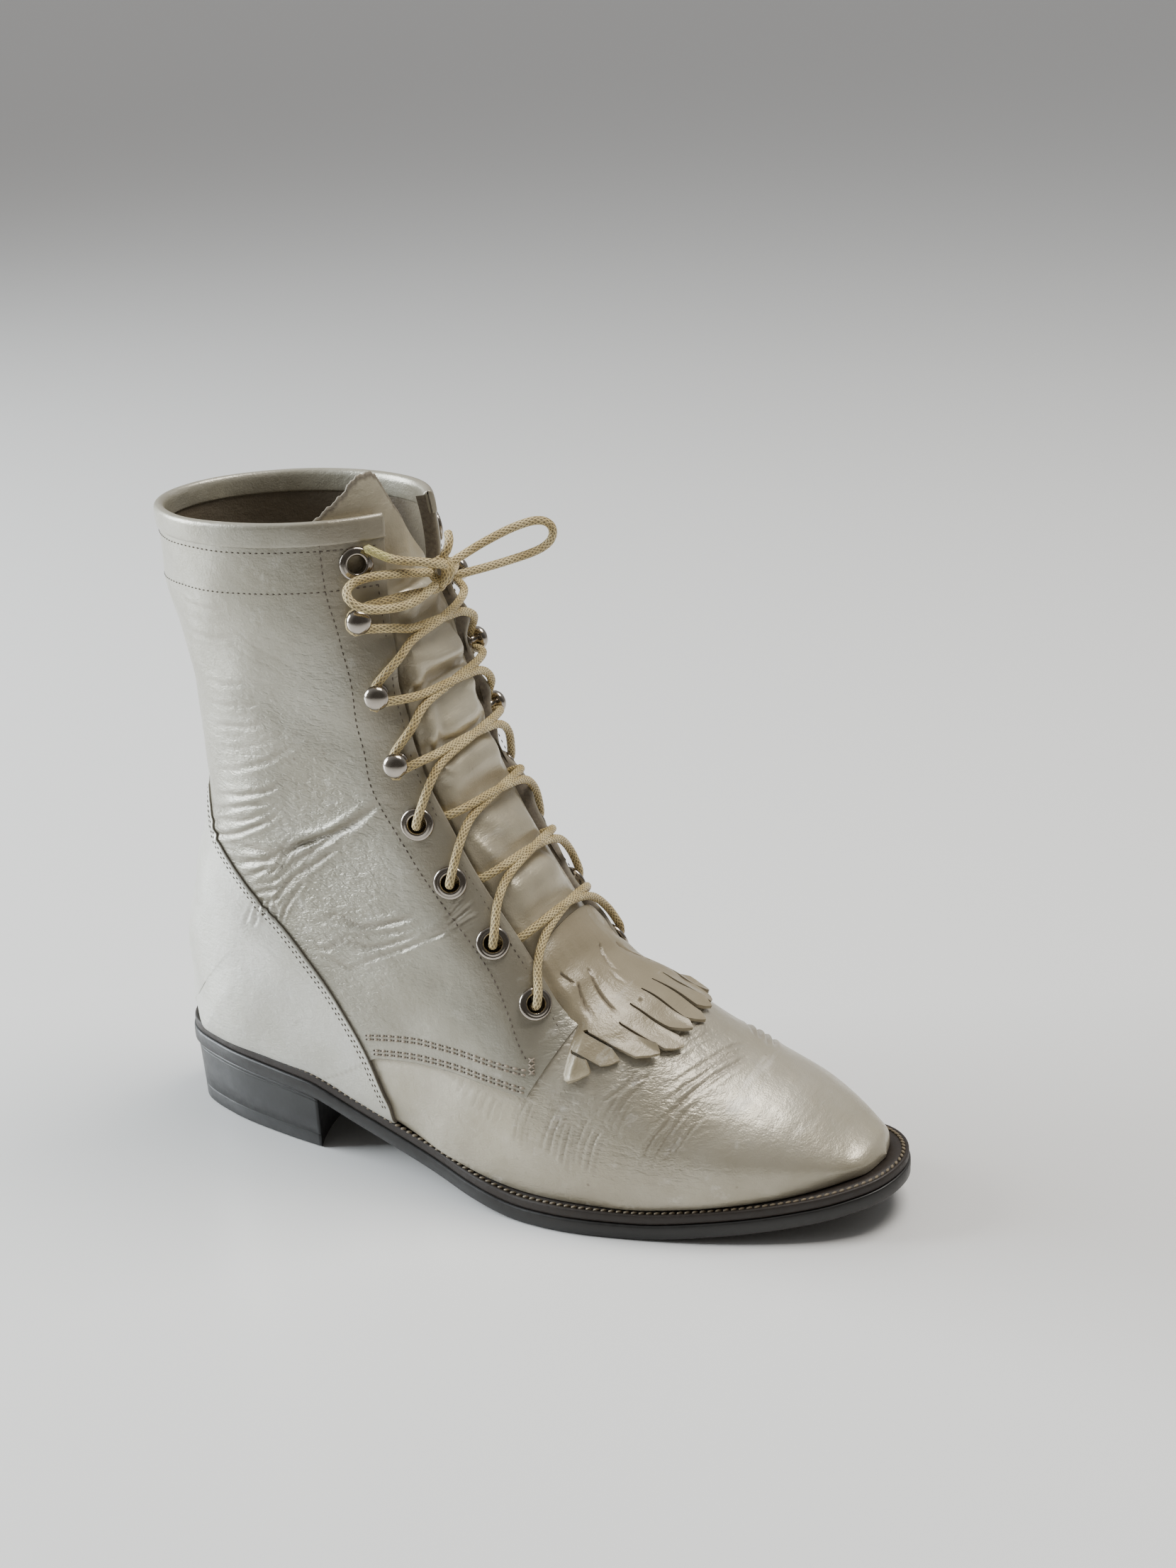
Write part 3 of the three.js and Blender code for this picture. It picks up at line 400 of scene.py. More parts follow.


# Creases placed in bunches: name, count, the creases' width, depth and the ridge beside them in
# millimetres, and the first and last line of places (t, v) on the skin between which they spread
creaseBunches = (
    ("under the fringe, outer side", 5, 0.65, 0.46, 0.28,
     ((4.86, -0.3), (4.95, -0.35), (5.08, -0.41), (5.18, -0.46)),
     ((4.68, -0.3), (4.76, -0.35), (4.86, -0.42), (4.93, -0.56))),
    ("main flex over the ball", 6, 0.72, 0.68, 0.36,
     ((3.91, 0.08), (4.06, -0.02), (4.18, -0.13), (4.3, -0.22), (4.46, -0.32)),
     ((3.76, 0.05), (3.84, -0.09), (3.98, -0.2), (4.13, -0.29), (4.56, -0.52))),
    ("flex carried down the outer side", 6, 0.65, 0.36, 0.24,
     ((4.11, -0.28), (4.26, -0.35), (4.36, -0.42), (4.5, -0.5), (4.63, -0.67)),
     ((3.93, -0.31), (3.98, -0.37), (4.08, -0.43), (4.18, -0.5), (4.28, -0.57))),
    ("fan below the fringe", 5, 0.6, 0.38, 0.28,
     ((5.68, -0.49), (5.78, -0.53), (5.85, -0.58), (5.93, -0.65)),
     ((5.43, -0.51), (5.46, -0.57), (5.5, -0.64), (5.5, -0.74))),
    ("second fan below the fringe", 4, 0.6, 0.35, 0.25,
     ((5.28, -0.48), (5.36, -0.53), (5.42, -0.59), (5.45, -0.68)),
     ((5.0, -0.5), (5.1, -0.56), (5.14, -0.62), (5.16, -0.72))),
    ("fine folds at the facing's point", 5, 0.5, 0.3, 0.22,
     ((6.28, -0.53), (6.36, -0.56), (6.4, -0.6), (6.41, -0.66)),
     ((6.02, -0.51), (6.1, -0.56), (6.14, -0.6), (6.14, -0.67))),
    ("fine folds under the quarter", 6, 0.5, 0.25, 0.2,
     ((7.3, -0.6), (7.36, -0.63), (7.38, -0.67)),
     ((6.6, -0.57), (6.66, -0.6), (6.68, -0.65))),
    ("folds at the fringe's far end", 5, 0.62, 0.4, 0.26,
     ((4.5, 0.06), (4.56, -0.03), (4.63, -0.09), (4.68, -0.16)),
     ((4.3, 0.04), (4.38, -0.05), (4.48, -0.13), (4.58, -0.21))),
    ("main flex over the ball, inner side", 4, 0.95, 0.85, 0.45,
     ((3.9, 0.12), (4.1, 0.22), (4.35, 0.34), (4.6, 0.46)),
     ((3.66, 0.12), (3.8, 0.24), (4.02, 0.38), (4.2, 0.5))),
    ("fan below the fringe, inner side", 7, 0.7, 0.42, 0.3,
     ((5.6, 0.49), (5.7, 0.54), (5.78, 0.6), (5.82, 0.7)),
     ((4.9, 0.42), (5.02, 0.5), (5.08, 0.58), (5.1, 0.7))),
    ("ankle folds to the facing", 3, 1.3, 1.0, 0.65,
     ((14.2, -0.76), (13.5, -0.67), (12.9, -0.62), (12.0, -0.57), (11.5, -0.49), (11.25, -0.4)),
     ((13.2, -0.7), (12.9, -0.65), (12.5, -0.61), (11.9, -0.58), (11.4, -0.53), (11.15, -0.42))),
    ("short folds under the ankle folds", 4, 0.85, 0.55, 0.4,
     ((13.0, -0.68), (12.8, -0.64), (12.6, -0.62), (11.8, -0.58), (11.4, -0.52)),
     ((12.6, -0.67), (12.3, -0.65), (11.8, -0.62), (11.5, -0.6), (11.2, -0.57))),
    ("curled folds over the heel", 5, 0.8, 0.45, 0.35,
     ((12.6, -0.66), (12.2, -0.68), (11.8, -0.68)),
     ((12.0, -0.6), (11.5, -0.62), (11.1, -0.65))),
    ("folds from the counter to the facing", 4, 1.0, 0.6, 0.4,
     ((10.85, -0.64), (10.3, -0.61), (9.75, -0.59), (9.35, -0.54), (9.05, -0.46)),
     ((10.3, -0.66), (9.8, -0.63), (9.4, -0.61), (9.05, -0.56), (8.66, -0.44))),
    ("folds by the second eyelet", 3, 0.9, 0.55, 0.35,
     ((8.95, -0.52), (8.78, -0.46), (8.72, -0.38), (8.78, -0.3)),
     ((8.8, -0.5), (8.62, -0.45), (8.46, -0.38), (8.3, -0.33))),
    ("folds above the ankle", 4, 1.0, 0.6, 0.45,
     ((14.85, -0.86), (14.6, -0.74), (14.3, -0.66), (13.95, -0.6)),
     ((14.4, -0.84), (14.1, -0.74), (13.8, -0.67), (13.5, -0.6))),
    ("folds of the shaft's back", 5, 1.1, 0.3, 0.22,
     ((16.0, -0.8), (15.85, -0.7), (15.7, -0.62)),
     ((15.1, -0.82), (14.8, -0.7), (14.5, -0.57))),
    ("slanted scratches of the shaft", 2, 0.5, 0.16, 0.06,
     ((16.7, -0.7), (16.4, -0.64), (16.05, -0.6), (15.66, -0.56)),
     ((16.5, -0.7), (16.2, -0.65), (15.9, -0.61), (15.6, -0.58))),
    ("folds under the top band", 3, 1.0, 0.22, 0.16,
     ((16.85, -0.8), (16.75, -0.72), (16.72, -0.64)),
     ((16.5, -0.82), (16.4, -0.72), (16.36, -0.64))),
    ("ankle folds, inner side", 6, 1.3, 0.85, 0.55,
     ((14.4, 0.8), (13.6, 0.7), (12.9, 0.63), (12.1, 0.56), (11.5, 0.47)),
     ((12.4, 0.72), (12.1, 0.66), (11.7, 0.62), (11.3, 0.58), (10.9, 0.5))),
    ("folds from the counter, inner side", 4, 1.0, 0.6, 0.4,
     ((10.7, 0.66), (10.2, 0.61), (9.7, 0.58), (9.3, 0.5)),
     ((9.9, 0.68), (9.4, 0.63), (9.0, 0.58), (8.6, 0.48))),
    ("folds of the shaft, inner side", 6, 1.3, 0.6, 0.4,
     ((16.3, 0.82), (16.0, 0.7), (15.8, 0.58)),
     ((14.9, 0.84), (14.7, 0.72), (14.5, 0.6))),
    ("folds round the shaft's back", 4, 1.3, 0.3, 0.22,
     ((15.6, -0.86), (15.5, -0.93), (15.5, -0.99)),
     ((13.9, -0.86), (13.8, -0.93), (13.8, -0.99))),
    ("folds round the shaft's back, inner side", 4, 1.3, 0.3, 0.22,
     ((15.4, 0.86), (15.3, 0.93), (15.3, 0.99)),
     ((13.7, 0.86), (13.6, 0.93), (13.6, 0.99))),
)


# Distance of points from a line, and the share of the line where each is nearest
def distanceTo(points, line):
    best = np.full(len(points), 1e9)
    share = np.zeros(len(points))
    count = len(line) - 1
    for i in range(count):
        a = line[i]
        step = line[i + 1] - a
        length = step @ step
        s = np.clip(((points - a) @ step) / length, 0, 1)
        gap = np.linalg.norm(points - a - s[:, None] * step, axis=1)
        nearer = gap < best
        best = np.where(nearer, gap, best)
        share = np.where(nearer, (i + s) / count, share)
    return best, share


# Evenly numbered places on a smooth curve through given ones
def curveThrough(places, count):
    places = np.asarray(places, float)
    if len(places) == 2:
        s = np.linspace(0, 1, count)[:, None]
        return places[0] * (1 - s) + places[1] * s
    keys = np.arange(len(places))
    at = np.linspace(0, len(places) - 1, count)
    return np.stack([smooth(keys, places[:, k])(at) for k in range(places.shape[1])], axis=-1)


creasePoints = 11
trimStart = 0.09
trimEnd = 0.12
wobble = 0.004


# Lines of a bunch's creases, each a little out of step with its neighbours
def creaseLines():
    found = []
    keys = np.linspace(0, 1, creasePoints)
    for _, count, width, depth, ridge, firstLine, lastLine in creaseBunches:
        first = curveThrough(firstLine, creasePoints)
        last = curveThrough(lastLine, creasePoints)
        for k in range(count):
            share = k / max(1, count - 1)
            path = first * (1 - share) + last * share
            start = trimStart * (0.5 + 0.5 * math.sin(2.4 * k + len(found)))
            end = 1 - trimEnd * (0.5 + 0.5 * math.sin(1.7 * k + 1 + len(found)))
            at = start + (end - start) * keys
            path = np.column_stack([np.interp(at, keys, path[:, j]) for j in (0, 1)])
            path[:, 1] += wobble * np.sin(3.1 * at * math.pi + 2.3 * k)
            vary = 0.8 + 0.3 * math.sin(2.1 * k + 0.7 * len(found))
            found.append((skin(path[:, 0], path[:, 1]), width, depth * vary, ridge * vary))
    return found


creases = creaseLines()
# Soft waves of the leather: height, lengths along x and z, start, and a bend by another axis and its length
surfaceWaves = (
    (0.22, 9.1, 7.3, 0.0, 1.1, 2, 13.0),
    (0.16, 5.3, -6.1, 1.7, 1.3, 0, 17.0),
    (0.1, 8.7, 3.4, 0.0, 2.0, 1, 11.0),
)


# Height of creases and waves at places on the skin, and how deep in a crease's trough each lies, for painted
# shade
def relief(base, t):
    depth = np.zeros(len(base))
    troughShade = np.zeros(len(base))
    for line, width, deep, ridge in creases:
        reach = 4 * width
        near = np.all((base > line.min(axis=0) - reach) & (base < line.max(axis=0) + reach), axis=1)
        if not near.any():
            continue
        gap, share = distanceTo(base[near], line)
        fade = soften(-0.02, 0.98, np.minimum(share, 1 - share) * 4)
        trough = hump(gap, 0, width)
        bank = hump(gap, 1.7 * width, width)
        depth[near] += fade * (ridge * bank - deep * trough)
        troughShade[near] = np.maximum(troughShade[near], fade * trough * min(1, deep / 0.7))
    waves = np.zeros(len(base))
    for height, alongX, alongZ, start, bend, axis, length in surfaceWaves:
        bent = bend * np.sin(base[:, axis] / length)
        waves += height * np.sin(base[:, 0] / alongX + base[:, 2] / alongZ + start + bent)
    return depth + waves * (0.25 + 0.75 * soften(2.5, 5, t)), troughShade


# Places (t, s) on one side of the skin that a side view shows at x, z
def placesSeen(x, z, side):
    byStep = 0.01
    ts, ss = np.meshgrid(np.linspace(0.2, collarSection, 180), np.linspace(0.02, 1, 120), indexing="ij")
    grid = skin(ts, side * ss)
    found = []
    for px, pz in zip(x, z):
        gap = (grid[..., 0] - px) ** 2 + (grid[..., 2] - pz) ** 2
        i, j = np.unravel_index(np.argmin(gap), gap.shape)
        t, s = ts[i, j], ss[i, j]
        for _ in range(6):
            here = skin(t, side * s)
            byT = (skin(t + byStep, side * s) - here) / byStep
            byS = (here - skin(t, side * (s - byStep / 2))) / (byStep / 2)
            matrix = np.array([[byT[0], byS[0]], [byT[2], byS[2]]])
            if abs(np.linalg.det(matrix)) < 1e-3:
                break
            step = np.linalg.solve(matrix, [px - here[0], pz - here[2]])
            t = float(np.clip(t + step[0], 0.1, collarSection))
            s = float(np.clip(s + step[1], 0.02, 1))
        found.append((t, s))
    return np.array(found)


# A line drawn in the side view, as places (t, s) on one side
def sideEdge(rows, side):
    rows = curveThrough(rows, 5 * len(rows))
    x = rows[:, 0] * soleLength - half
    z = soleTop(x) + rows[:, 1] * shaftRise
    return placesSeen(x, z, side)


# Side outlines of the lapped pieces, as shares of the sole's length and the shaft's rise
counterEdge = (
    (0.02, 0.55),
    (0.075, 0.505),
    (0.141, 0.405),
    (0.196, 0.332),
    (0.26, 0.262),
    (0.315, 0.197),
    (0.352, 0.125),
    (0.386, 0.018),
)
quarterEdge = (
    (0.585, 0.186),
    (0.545, 0.19),
    (0.505, 0.187),
    (0.441, 0.168),
    (0.374, 0.131),
    (0.33, 0.1),
)
facingEnd = ((0.628, 0.298), (0.606, 0.242), (0.585, 0.186))


# A lapped piece's edge as s over t, in rising t
def edgeCurve(places, low, high):
    places = places[np.argsort(places[:, 0])]
    keep = [0]
    for i in range(1, len(places)):
        if places[i, 0] > places[keep[-1], 0] + 0.01:
            keep.append(i)
    places = places[keep]
    places = np.vstack([[low], places, [high]])
    return smooth(places[:, 0], places[:, 1])


quarterLow = 5.74
quarterS = {}
counterS = {}
for side in (-1, 1):
    front = sideEdge(facingEnd, side)
    lower = sideEdge(quarterEdge, side)
    places = np.vstack([front[1:], lower[1:]])
    places = places[(places[:, 0] > quarterLow + 0.03) & (places[:, 0] < 8.6)]
    quarterS[side] = edgeCurve(places, (quarterLow, gapShare + 0.006), (9.1, 1))
    back = sideEdge(counterEdge, side)
    counterLow = back[-1, 0] - 0.02
    counterHigh = back[0, 0] + 0.02
    back = back[(back[:, 0] > counterLow + 0.05) & (back[:, 0] < counterHigh - 0.05)]
    counterS[side] = (edgeCurve(back, (counterLow, 1), (counterHigh, 1)), counterLow, counterHigh)
    print("edges", side, round(counterLow, 2), round(counterHigh, 2))

# Places of eyelets and hooks: along the facing's edge from the throat's end, and in from it
lacingRows = (
    {"kind": "eyelet", "along": 11.5, "inset": 7.0},
    {"kind": "eyelet", "along": 36.0, "inset": 7.6},
    {"kind": "eyelet", "along": 61.0, "inset": 8.6},
    {"kind": "eyelet", "along": 84.0, "inset": 9.5},
    {"kind": "hook", "along": 105.0, "inset": 7.4},
    {"kind": "hook", "along": 129.0, "inset": 8.2},
    {"kind": "hook", "along": 152.0, "inset": 11.0},
    {"kind": "eyelet", "along": 168.7, "inset": 10.2},
)


# Length walked along a line at each of its points
def walked(points):
    steps = np.linalg.norm(np.diff(points, axis=0), axis=1)
    return np.concatenate([[0], np.cumsum(steps)])


# A lacing place as (t, s), from its lengths along and across the facing
def facingPlace(row):
    ts = np.arange(throatSection, collarSection + 0.01, 0.02)
    t = np.interp(row["along"], walked(skin(ts, gapShare)), ts)
    vs = np.arange(gapShare, wideShare, 0.004)
    return t, np.interp(row["inset"], walked(skin(t, vs)), vs)


lacing = [facingPlace(row) for row in lacingRows]


# A lacing place's middle, lifted off the leather, and its way out
def seatOn(side, place, lift):
    t, s = place
    return pointOff(t, side * s, quarterStep + lift), outward(t, side * s)


# Takes the faces round each eyelet's barrel out of a sheet
def punched(thing, reach):
    bm = bmesh.new()
    bm.from_mesh(thing.data)
    holes = []
    for side in (-1, 1):
        for row, place in zip(lacingRows, lacing):
            if row["kind"] == "eyelet":
                holes.append(Vector(seatOn(side, place, 0)[0] * millimetre))
    gone = [
        face for face in bm.faces
        if any((face.calc_center_median() - hole).length < reach * millimetre for hole in holes)
    ]
    bmesh.ops.delete(bm, geom=gone, context="FACES")
    bm.to_mesh(thing.data)
    bm.free()


print("edges and places found")


# Materials
def addNode(tree, kind, links=(), **settings):
    made = tree.nodes.new(kind)
    for key, value in settings.items():
        setattr(made, key, value)
    for name, source in dict(links).items():
        socket = made.inputs[name]
        if isinstance(source, bpy.types.NodeSocket):
            tree.links.new(source, socket)
        else:
            socket.default_value = source
    return made


def noise(tree, at, scale, detail=3.0, roughness=0.55):
    made = addNode(tree, "ShaderNodeTexNoise", {
        "Vector": at, "Scale": scale, "Detail": detail, "Roughness": roughness,
    })
    return made.outputs["Fac"]


def objectPlace(tree):
    return addNode(tree, "ShaderNodeTexCoord").outputs["Object"]


def mask(tree, name):
    return addNode(tree, "ShaderNodeAttribute", attribute_name=name).outputs["Fac"]


def cells(tree, at, scale):
    return addNode(tree, "ShaderNodeTexVoronoi", {"Vector": at, "Scale": scale}).outputs["Distance"]


def stretched(tree, at, rotation, scale):
    made = addNode(tree, "ShaderNodeMapping", {"Vector": at, "Rotation": rotation, "Scale": scale})
    return made.outputs["Vector"]


def bump(tree, height, strength, distance, normal=None):
    links = {"Strength": strength, "Distance": distance, "Height": height}
    if normal:
        links["Normal"] = normal
    return addNode(tree, "ShaderNodeBump", links).outputs["Normal"]


def ramp(tree, value, low, high, lowTo=0.0, highTo=1.0):
    made = addNode(tree, "ShaderNodeMapRange", {
        "Value": value, "From Min": low, "From Max": high, "To Min": lowTo, "To Max": highTo,
    })
    return made.outputs["Result"]


def blend(tree, share, first, second):
    made = addNode(tree, "ShaderNodeMix", data_type="RGBA")
    for index, source in ((0, share), (6, first), (7, second)):
        if isinstance(source, bpy.types.NodeSocket):
            tree.links.new(source, made.inputs[index])
        else:
            made.inputs[index].default_value = source
    return made.outputs[2]


def maths(tree, operation, first, second=0.0):
    made = addNode(tree, "ShaderNodeMath", {0: first, 1: second}, operation=operation)
    return made.outputs[0]


# Thin lines where a noise passes its middle
def middleLines(tree, value, width):
    return ramp(tree, maths(tree, "ABSOLUTE", maths(tree, "SUBTRACT", value, 0.5)), 0.0, width)


def newGroup(name, inputs, outputs):
    tree = bpy.data.node_groups.new(name, "ShaderNodeTree")
    for label, kind, value in inputs:
        socket = tree.interface.new_socket(label, in_out="INPUT", socket_type=kind)
        if value is not None:
            socket.default_value = value
    for label, kind in outputs:
        tree.interface.new_socket(label, in_out="OUTPUT", socket_type=kind)
    return tree, tree.nodes.new("NodeGroupInput"), tree.nodes.new("NodeGroupOutput")


def newMaterial(name):
    material = bpy.data.materials.new(name)
    material.use_nodes = True
    return material, material.node_tree, material.node_tree.nodes["Principled BSDF"]


# Smooth leather: fine pores and hair creases, soft clouds of tone, dirt with painted shade, painted shade in
# the folds, scuffs and pinpricks
def leatherGroup():
    tree, given, result = newGroup(
        "smoothLeather",
        (
            ("Light", "NodeSocketColor", (0.7, 0.66, 0.58, 1)),
            ("Shade", "NodeSocketColor", (0.5, 0.45, 0.36, 1)),
            ("FoldShadeAndPits", "NodeSocketColor", (0.2, 0.165, 0.12, 1)),
            ("DirtAndShade", "NodeSocketColor", (0.27, 0.232, 0.168, 1)),
            ("Scuffs", "NodeSocketFloat", 0.3),
            ("Pores", "NodeSocketFloat", 0.12),
            ("Crumple", "NodeSocketFloat", 0.25),
            ("Crinkle", "NodeSocketFloat", 0.5),
        ),
        (("Color", "NodeSocketColor"), ("Roughness", "NodeSocketFloat"), ("Normal", "NodeSocketVector")),
    )
    at = objectPlace(tree)
    drawn = stretched(tree, at, (0.5, 0.4, 0.6), (1.0, 0.14, 1.0))
    flat = stretched(tree, at, (0.0, 0.35, 0.0), (1.0, 1.0, 2.6))
    clouds = noise(tree, at, 26.0, 4.0, 0.6)
    fine = noise(tree, at, 210.0, 4.0, 0.6)
    hair = noise(tree, drawn, 260.0, 5.0, 0.62)
    scuff = noise(tree, drawn, 90.0, 6.0, 0.7)
    broadLine = middleLines(tree, noise(tree, flat, 90.0, 3.0, 0.6), 0.1)
    narrowLine = middleLines(tree, noise(tree, flat, 230.0, 3.0, 0.6), 0.12)
    pinpricks = ramp(tree, cells(tree, at, 95.0), 0.07, 0.035)
    pits = maths(tree, "MULTIPLY", pinpricks, ramp(tree, clouds, 0.5, 0.62))
    scuffs = maths(tree, "MULTIPLY", ramp(tree, scuff, 0.6, 0.72), given.outputs["Scuffs"])
    crinkle = maths(
        tree, "ADD", maths(tree, "MULTIPLY", broadLine, 0.65), maths(tree, "MULTIPLY", narrowLine, 0.35),
    )
    # Dirt mixed with painted shade, by the dirt-and-shade mask
    dirtiedAndShaded = maths(tree, "MULTIPLY", mask(tree, "dirtAndShade"), ramp(tree, clouds, 0.2, 0.7, 0.45, 0.8))
    color = blend(tree, ramp(tree, clouds, 0.35, 0.68), given.outputs["Light"], given.outputs["Shade"])
    for share, over in (
        (dirtiedAndShaded, given.outputs["DirtAndShade"]),
        # Painted shade in the folds
        (maths(tree, "MULTIPLY", mask(tree, "recessShade"), 0.5), given.outputs["FoldShadeAndPits"]),
        (scuffs, (0.8, 0.77, 0.7, 1)),
        (maths(tree, "MULTIPLY", pits, 0.7), given.outputs["FoldShadeAndPits"]),
        (ramp(tree, fine, 0.3, 0.75, 0.0, 0.22), given.outputs["Shade"]),
    ):
        color = blend(tree, share, color, over)
    tree.links.new(color, result.inputs["Color"])
    rough = maths(tree, "ADD", ramp(tree, fine, 0.3, 0.7, 0.3, 0.42), maths(tree, "MULTIPLY", scuffs, 0.25))
    tree.links.new(rough, result.inputs["Roughness"])
    normal = None
    for height, strength, distance in (
        (cells(tree, at, 1500.0), given.outputs["Pores"], 0.0004),
        (hair, given.outputs["Crumple"], 0.0009),
        (fine, 0.12, 0.002),
        (maths(tree, "MULTIPLY", crinkle, mask(tree, "worn")), given.outputs["Crinkle"], 0.0006),
    ):
        normal = bump(tree, height, strength, distance, normal)
    tree.links.new(normal, result.inputs["Normal"])
    return tree


leatherTree = leatherGroup()


# Leather in a light and a shade tone; raw leather shows its dark fibres where the raw-edge mask says, and at
# the quarter's lapped edge this darkening is also a painted shadow under the step
def leatherMaterial(
    name, light, shade, raw=True, coat=0.3, pearl=0.35, scuffs=0.3, crumple=0.25, crinkle=0.5,
):
    material, tree, shader = newMaterial(name)
    group = addNode(tree, "ShaderNodeGroup", node_tree=leatherTree)
    given = {
        "Light": (*light, 1),
        "Shade": (*shade, 1),
        "Scuffs": scuffs,
        "Crumple": crumple,
        "Crinkle": crinkle,
    }
    for label, value in given.items():
        group.inputs[label].default_value = value
    color = group.outputs["Color"]
    rough = group.outputs["Roughness"]
    shader.inputs["Metallic"].default_value = pearl
    shader.inputs["Coat Weight"].default_value = coat
    if raw:
        edge = mask(tree, "rawEdgeAndShade")
        grain = noise(tree, objectPlace(tree), 900.0)
        fibre = blend(tree, grain, (0.07, 0.057, 0.043, 1), (0.23, 0.195, 0.15, 1))
        color = blend(tree, edge, color, fibre)
        rough = maths(tree, "ADD", rough, maths(tree, "MULTIPLY", edge, 0.5))
        finished = maths(tree, "SUBTRACT", 1.0, edge)
        tree.links.new(maths(tree, "MULTIPLY", finished, pearl), shader.inputs["Metallic"])
        tree.links.new(maths(tree, "MULTIPLY", finished, coat), shader.inputs["Coat Weight"])
    tree.links.new(color, shader.inputs["Base Color"])
    tree.links.new(rough, shader.inputs["Roughness"])
    tree.links.new(group.outputs["Normal"], shader.inputs["Normal"])
    shader.inputs["Coat Roughness"].default_value = 0.28
    shader.inputs["Specular IOR Level"].default_value = 0.55
    return material


# One ivory leather in lit and shaded copies, each painted lighter or darker for the light on its part: the
# vamp, counter and tongue lit, the quarters, binding and fringe shaded
ivoryShaded = leatherMaterial("ivoryShaded", (0.41, 0.39, 0.32), (0.32, 0.297, 0.228), crinkle=0.6)
ivoryVampLit = leatherMaterial(
    "ivoryVampLit", (0.56, 0.52, 0.42), (0.43, 0.385, 0.285), scuffs=0.5, crumple=0.3, crinkle=0.6,
)
ivoryCounterLit = leatherMaterial(
    "ivoryCounterLit", (0.66, 0.65, 0.59), (0.55, 0.535, 0.46), scuffs=0.4, crumple=0.16, crinkle=0.2,
)
ivoryFringeShaded = leatherMaterial(
    "ivoryFringeShaded", (0.35, 0.298, 0.2), (0.27, 0.222, 0.142), coat=0.04, pearl=0.12, scuffs=0.4,
    crumple=0.3, crinkle=0.3,
)
ivoryTongueLit = leatherMaterial(
    "ivoryTongueLit", (0.86, 0.8, 0.61), (0.68, 0.6, 0.42), coat=0.45, pearl=0.45, crumple=0.35,
)
ivoryBindingShaded = leatherMaterial(
    "ivoryBindingShaded", (0.41, 0.39, 0.322), (0.33, 0.306, 0.236), raw=False, crumple=0.16, crinkle=0.2,
)
liningLeather = leatherMaterial(
    "liningLeather", (0.17, 0.14, 0.1), (0.11, 0.09, 0.065), raw=False, coat=0.0, pearl=0.0, scuffs=0.1,
    crumple=0.3,
)


# Plain stuff with a grain: its tone and roughness go from the first to the second with the grain's noise
def plainMaterial(name, dark, light, rough, scale, deep, coat=0.0, metal=0.0):
    material, tree, shader = newMaterial(name)
    grain = noise(tree, objectPlace(tree), scale, 4.0, 0.6)
    tree.links.new(blend(tree, grain, (*dark, 1), (*light, 1)), shader.inputs["Base Color"])
    tree.links.new(ramp(tree, grain, 0.3, 0.7, rough[0], rough[1]), shader.inputs["Roughness"])
    tree.links.new(bump(tree, grain, deep, 0.0003), shader.inputs["Normal"])
    shader.inputs["Coat Weight"].default_value = coat
    shader.inputs["Coat Roughness"].default_value = 0.2
    shader.inputs["Metallic"].default_value = metal
    return material


soleBlack = plainMaterial(
    "soleBlack", (0.006, 0.0055, 0.005), (0.022, 0.02, 0.018), (0.38, 0.55), 420.0, 0.3, coat=0.1,
)
heelBlack = plainMaterial(
    "heelBlack", (0.006, 0.006, 0.006), (0.02, 0.019, 0.018), (0.34, 0.5), 300.0, 0.25, coat=0.15,
)
weltBrown = plainMaterial("weltBrown", (0.01, 0.007, 0.005), (0.032, 0.022, 0.016), (0.45, 0.65), 500.0, 0.4)
threadCream = plainMaterial("threadCream", (0.13, 0.1, 0.065), (0.3, 0.245, 0.165), (0.6, 0.8), 2500.0, 0.5)
threadTaupe = plainMaterial("threadTaupe", (0.06, 0.048, 0.036), (0.15, 0.12, 0.09), (0.55, 0.75), 2500.0, 0.4)
threadIvory = plainMaterial("threadIvory", (0.24, 0.19, 0.14), (0.42, 0.355, 0.275), (0.5, 0.7), 2500.0, 0.4)
boardTan = plainMaterial("boardTan", (0.22, 0.15, 0.09), (0.34, 0.25, 0.16), (0.6, 0.8), 200.0, 0.4)
nickel = plainMaterial(
    "nickel", (0.31, 0.275, 0.235), (0.46, 0.415, 0.36), (0.1, 0.2), 350.0, 0.08, metal=1.0,
)

braidStrands = 8
braidPitch = 2.1


# Round waxed lace: crossing strands of its braid, over the mapped lengths, with painted shade between strands
def laceMaterial(name, dark, light):
    material, tree, shader = newMaterial(name)
    lengths = addNode(tree, "ShaderNodeUVMap", uv_map="lengths").outputs["UV"]
    parts = addNode(tree, "ShaderNodeSeparateXYZ", {"Vector": lengths})
    around = maths(tree, "MULTIPLY", parts.outputs["X"], braidStrands * 2 * math.pi)
    along = maths(tree, "MULTIPLY", parts.outputs["Y"], 2 * math.pi / braidPitch)
    one = maths(tree, "SINE", maths(tree, "ADD", around, along))
    two = maths(tree, "SINE", maths(tree, "SUBTRACT", around, along))
    braid = maths(tree, "MAXIMUM", one, two)
    stains = noise(tree, objectPlace(tree), 130.0)
    tone = blend(tree, ramp(tree, stains, 0.3, 0.7), (*light, 1), (*dark, 1))
    # Painted shade in the grooves between the braid's strands
    deep = blend(tree, ramp(tree, braid, 0.45, -0.3, 0.0, 0.75), tone, (0.16, 0.115, 0.06, 1))
    tipped = blend(tree, mask(tree, "waxed"), deep, (0.74, 0.66, 0.27, 1))
    tree.links.new(tipped, shader.inputs["Base Color"])
    shader.inputs["Roughness"].default_value = 0.5
    tree.links.new(bump(tree, braid, 0.9, 0.0003), shader.inputs["Normal"])
    shader.inputs["Coat Weight"].default_value = 0.12
    shader.inputs["Coat Roughness"].default_value = 0.3
    return material


waxedLace = laceMaterial("waxedLace", (0.54, 0.4, 0.17), (0.84, 0.68, 0.36))
print("materials made")


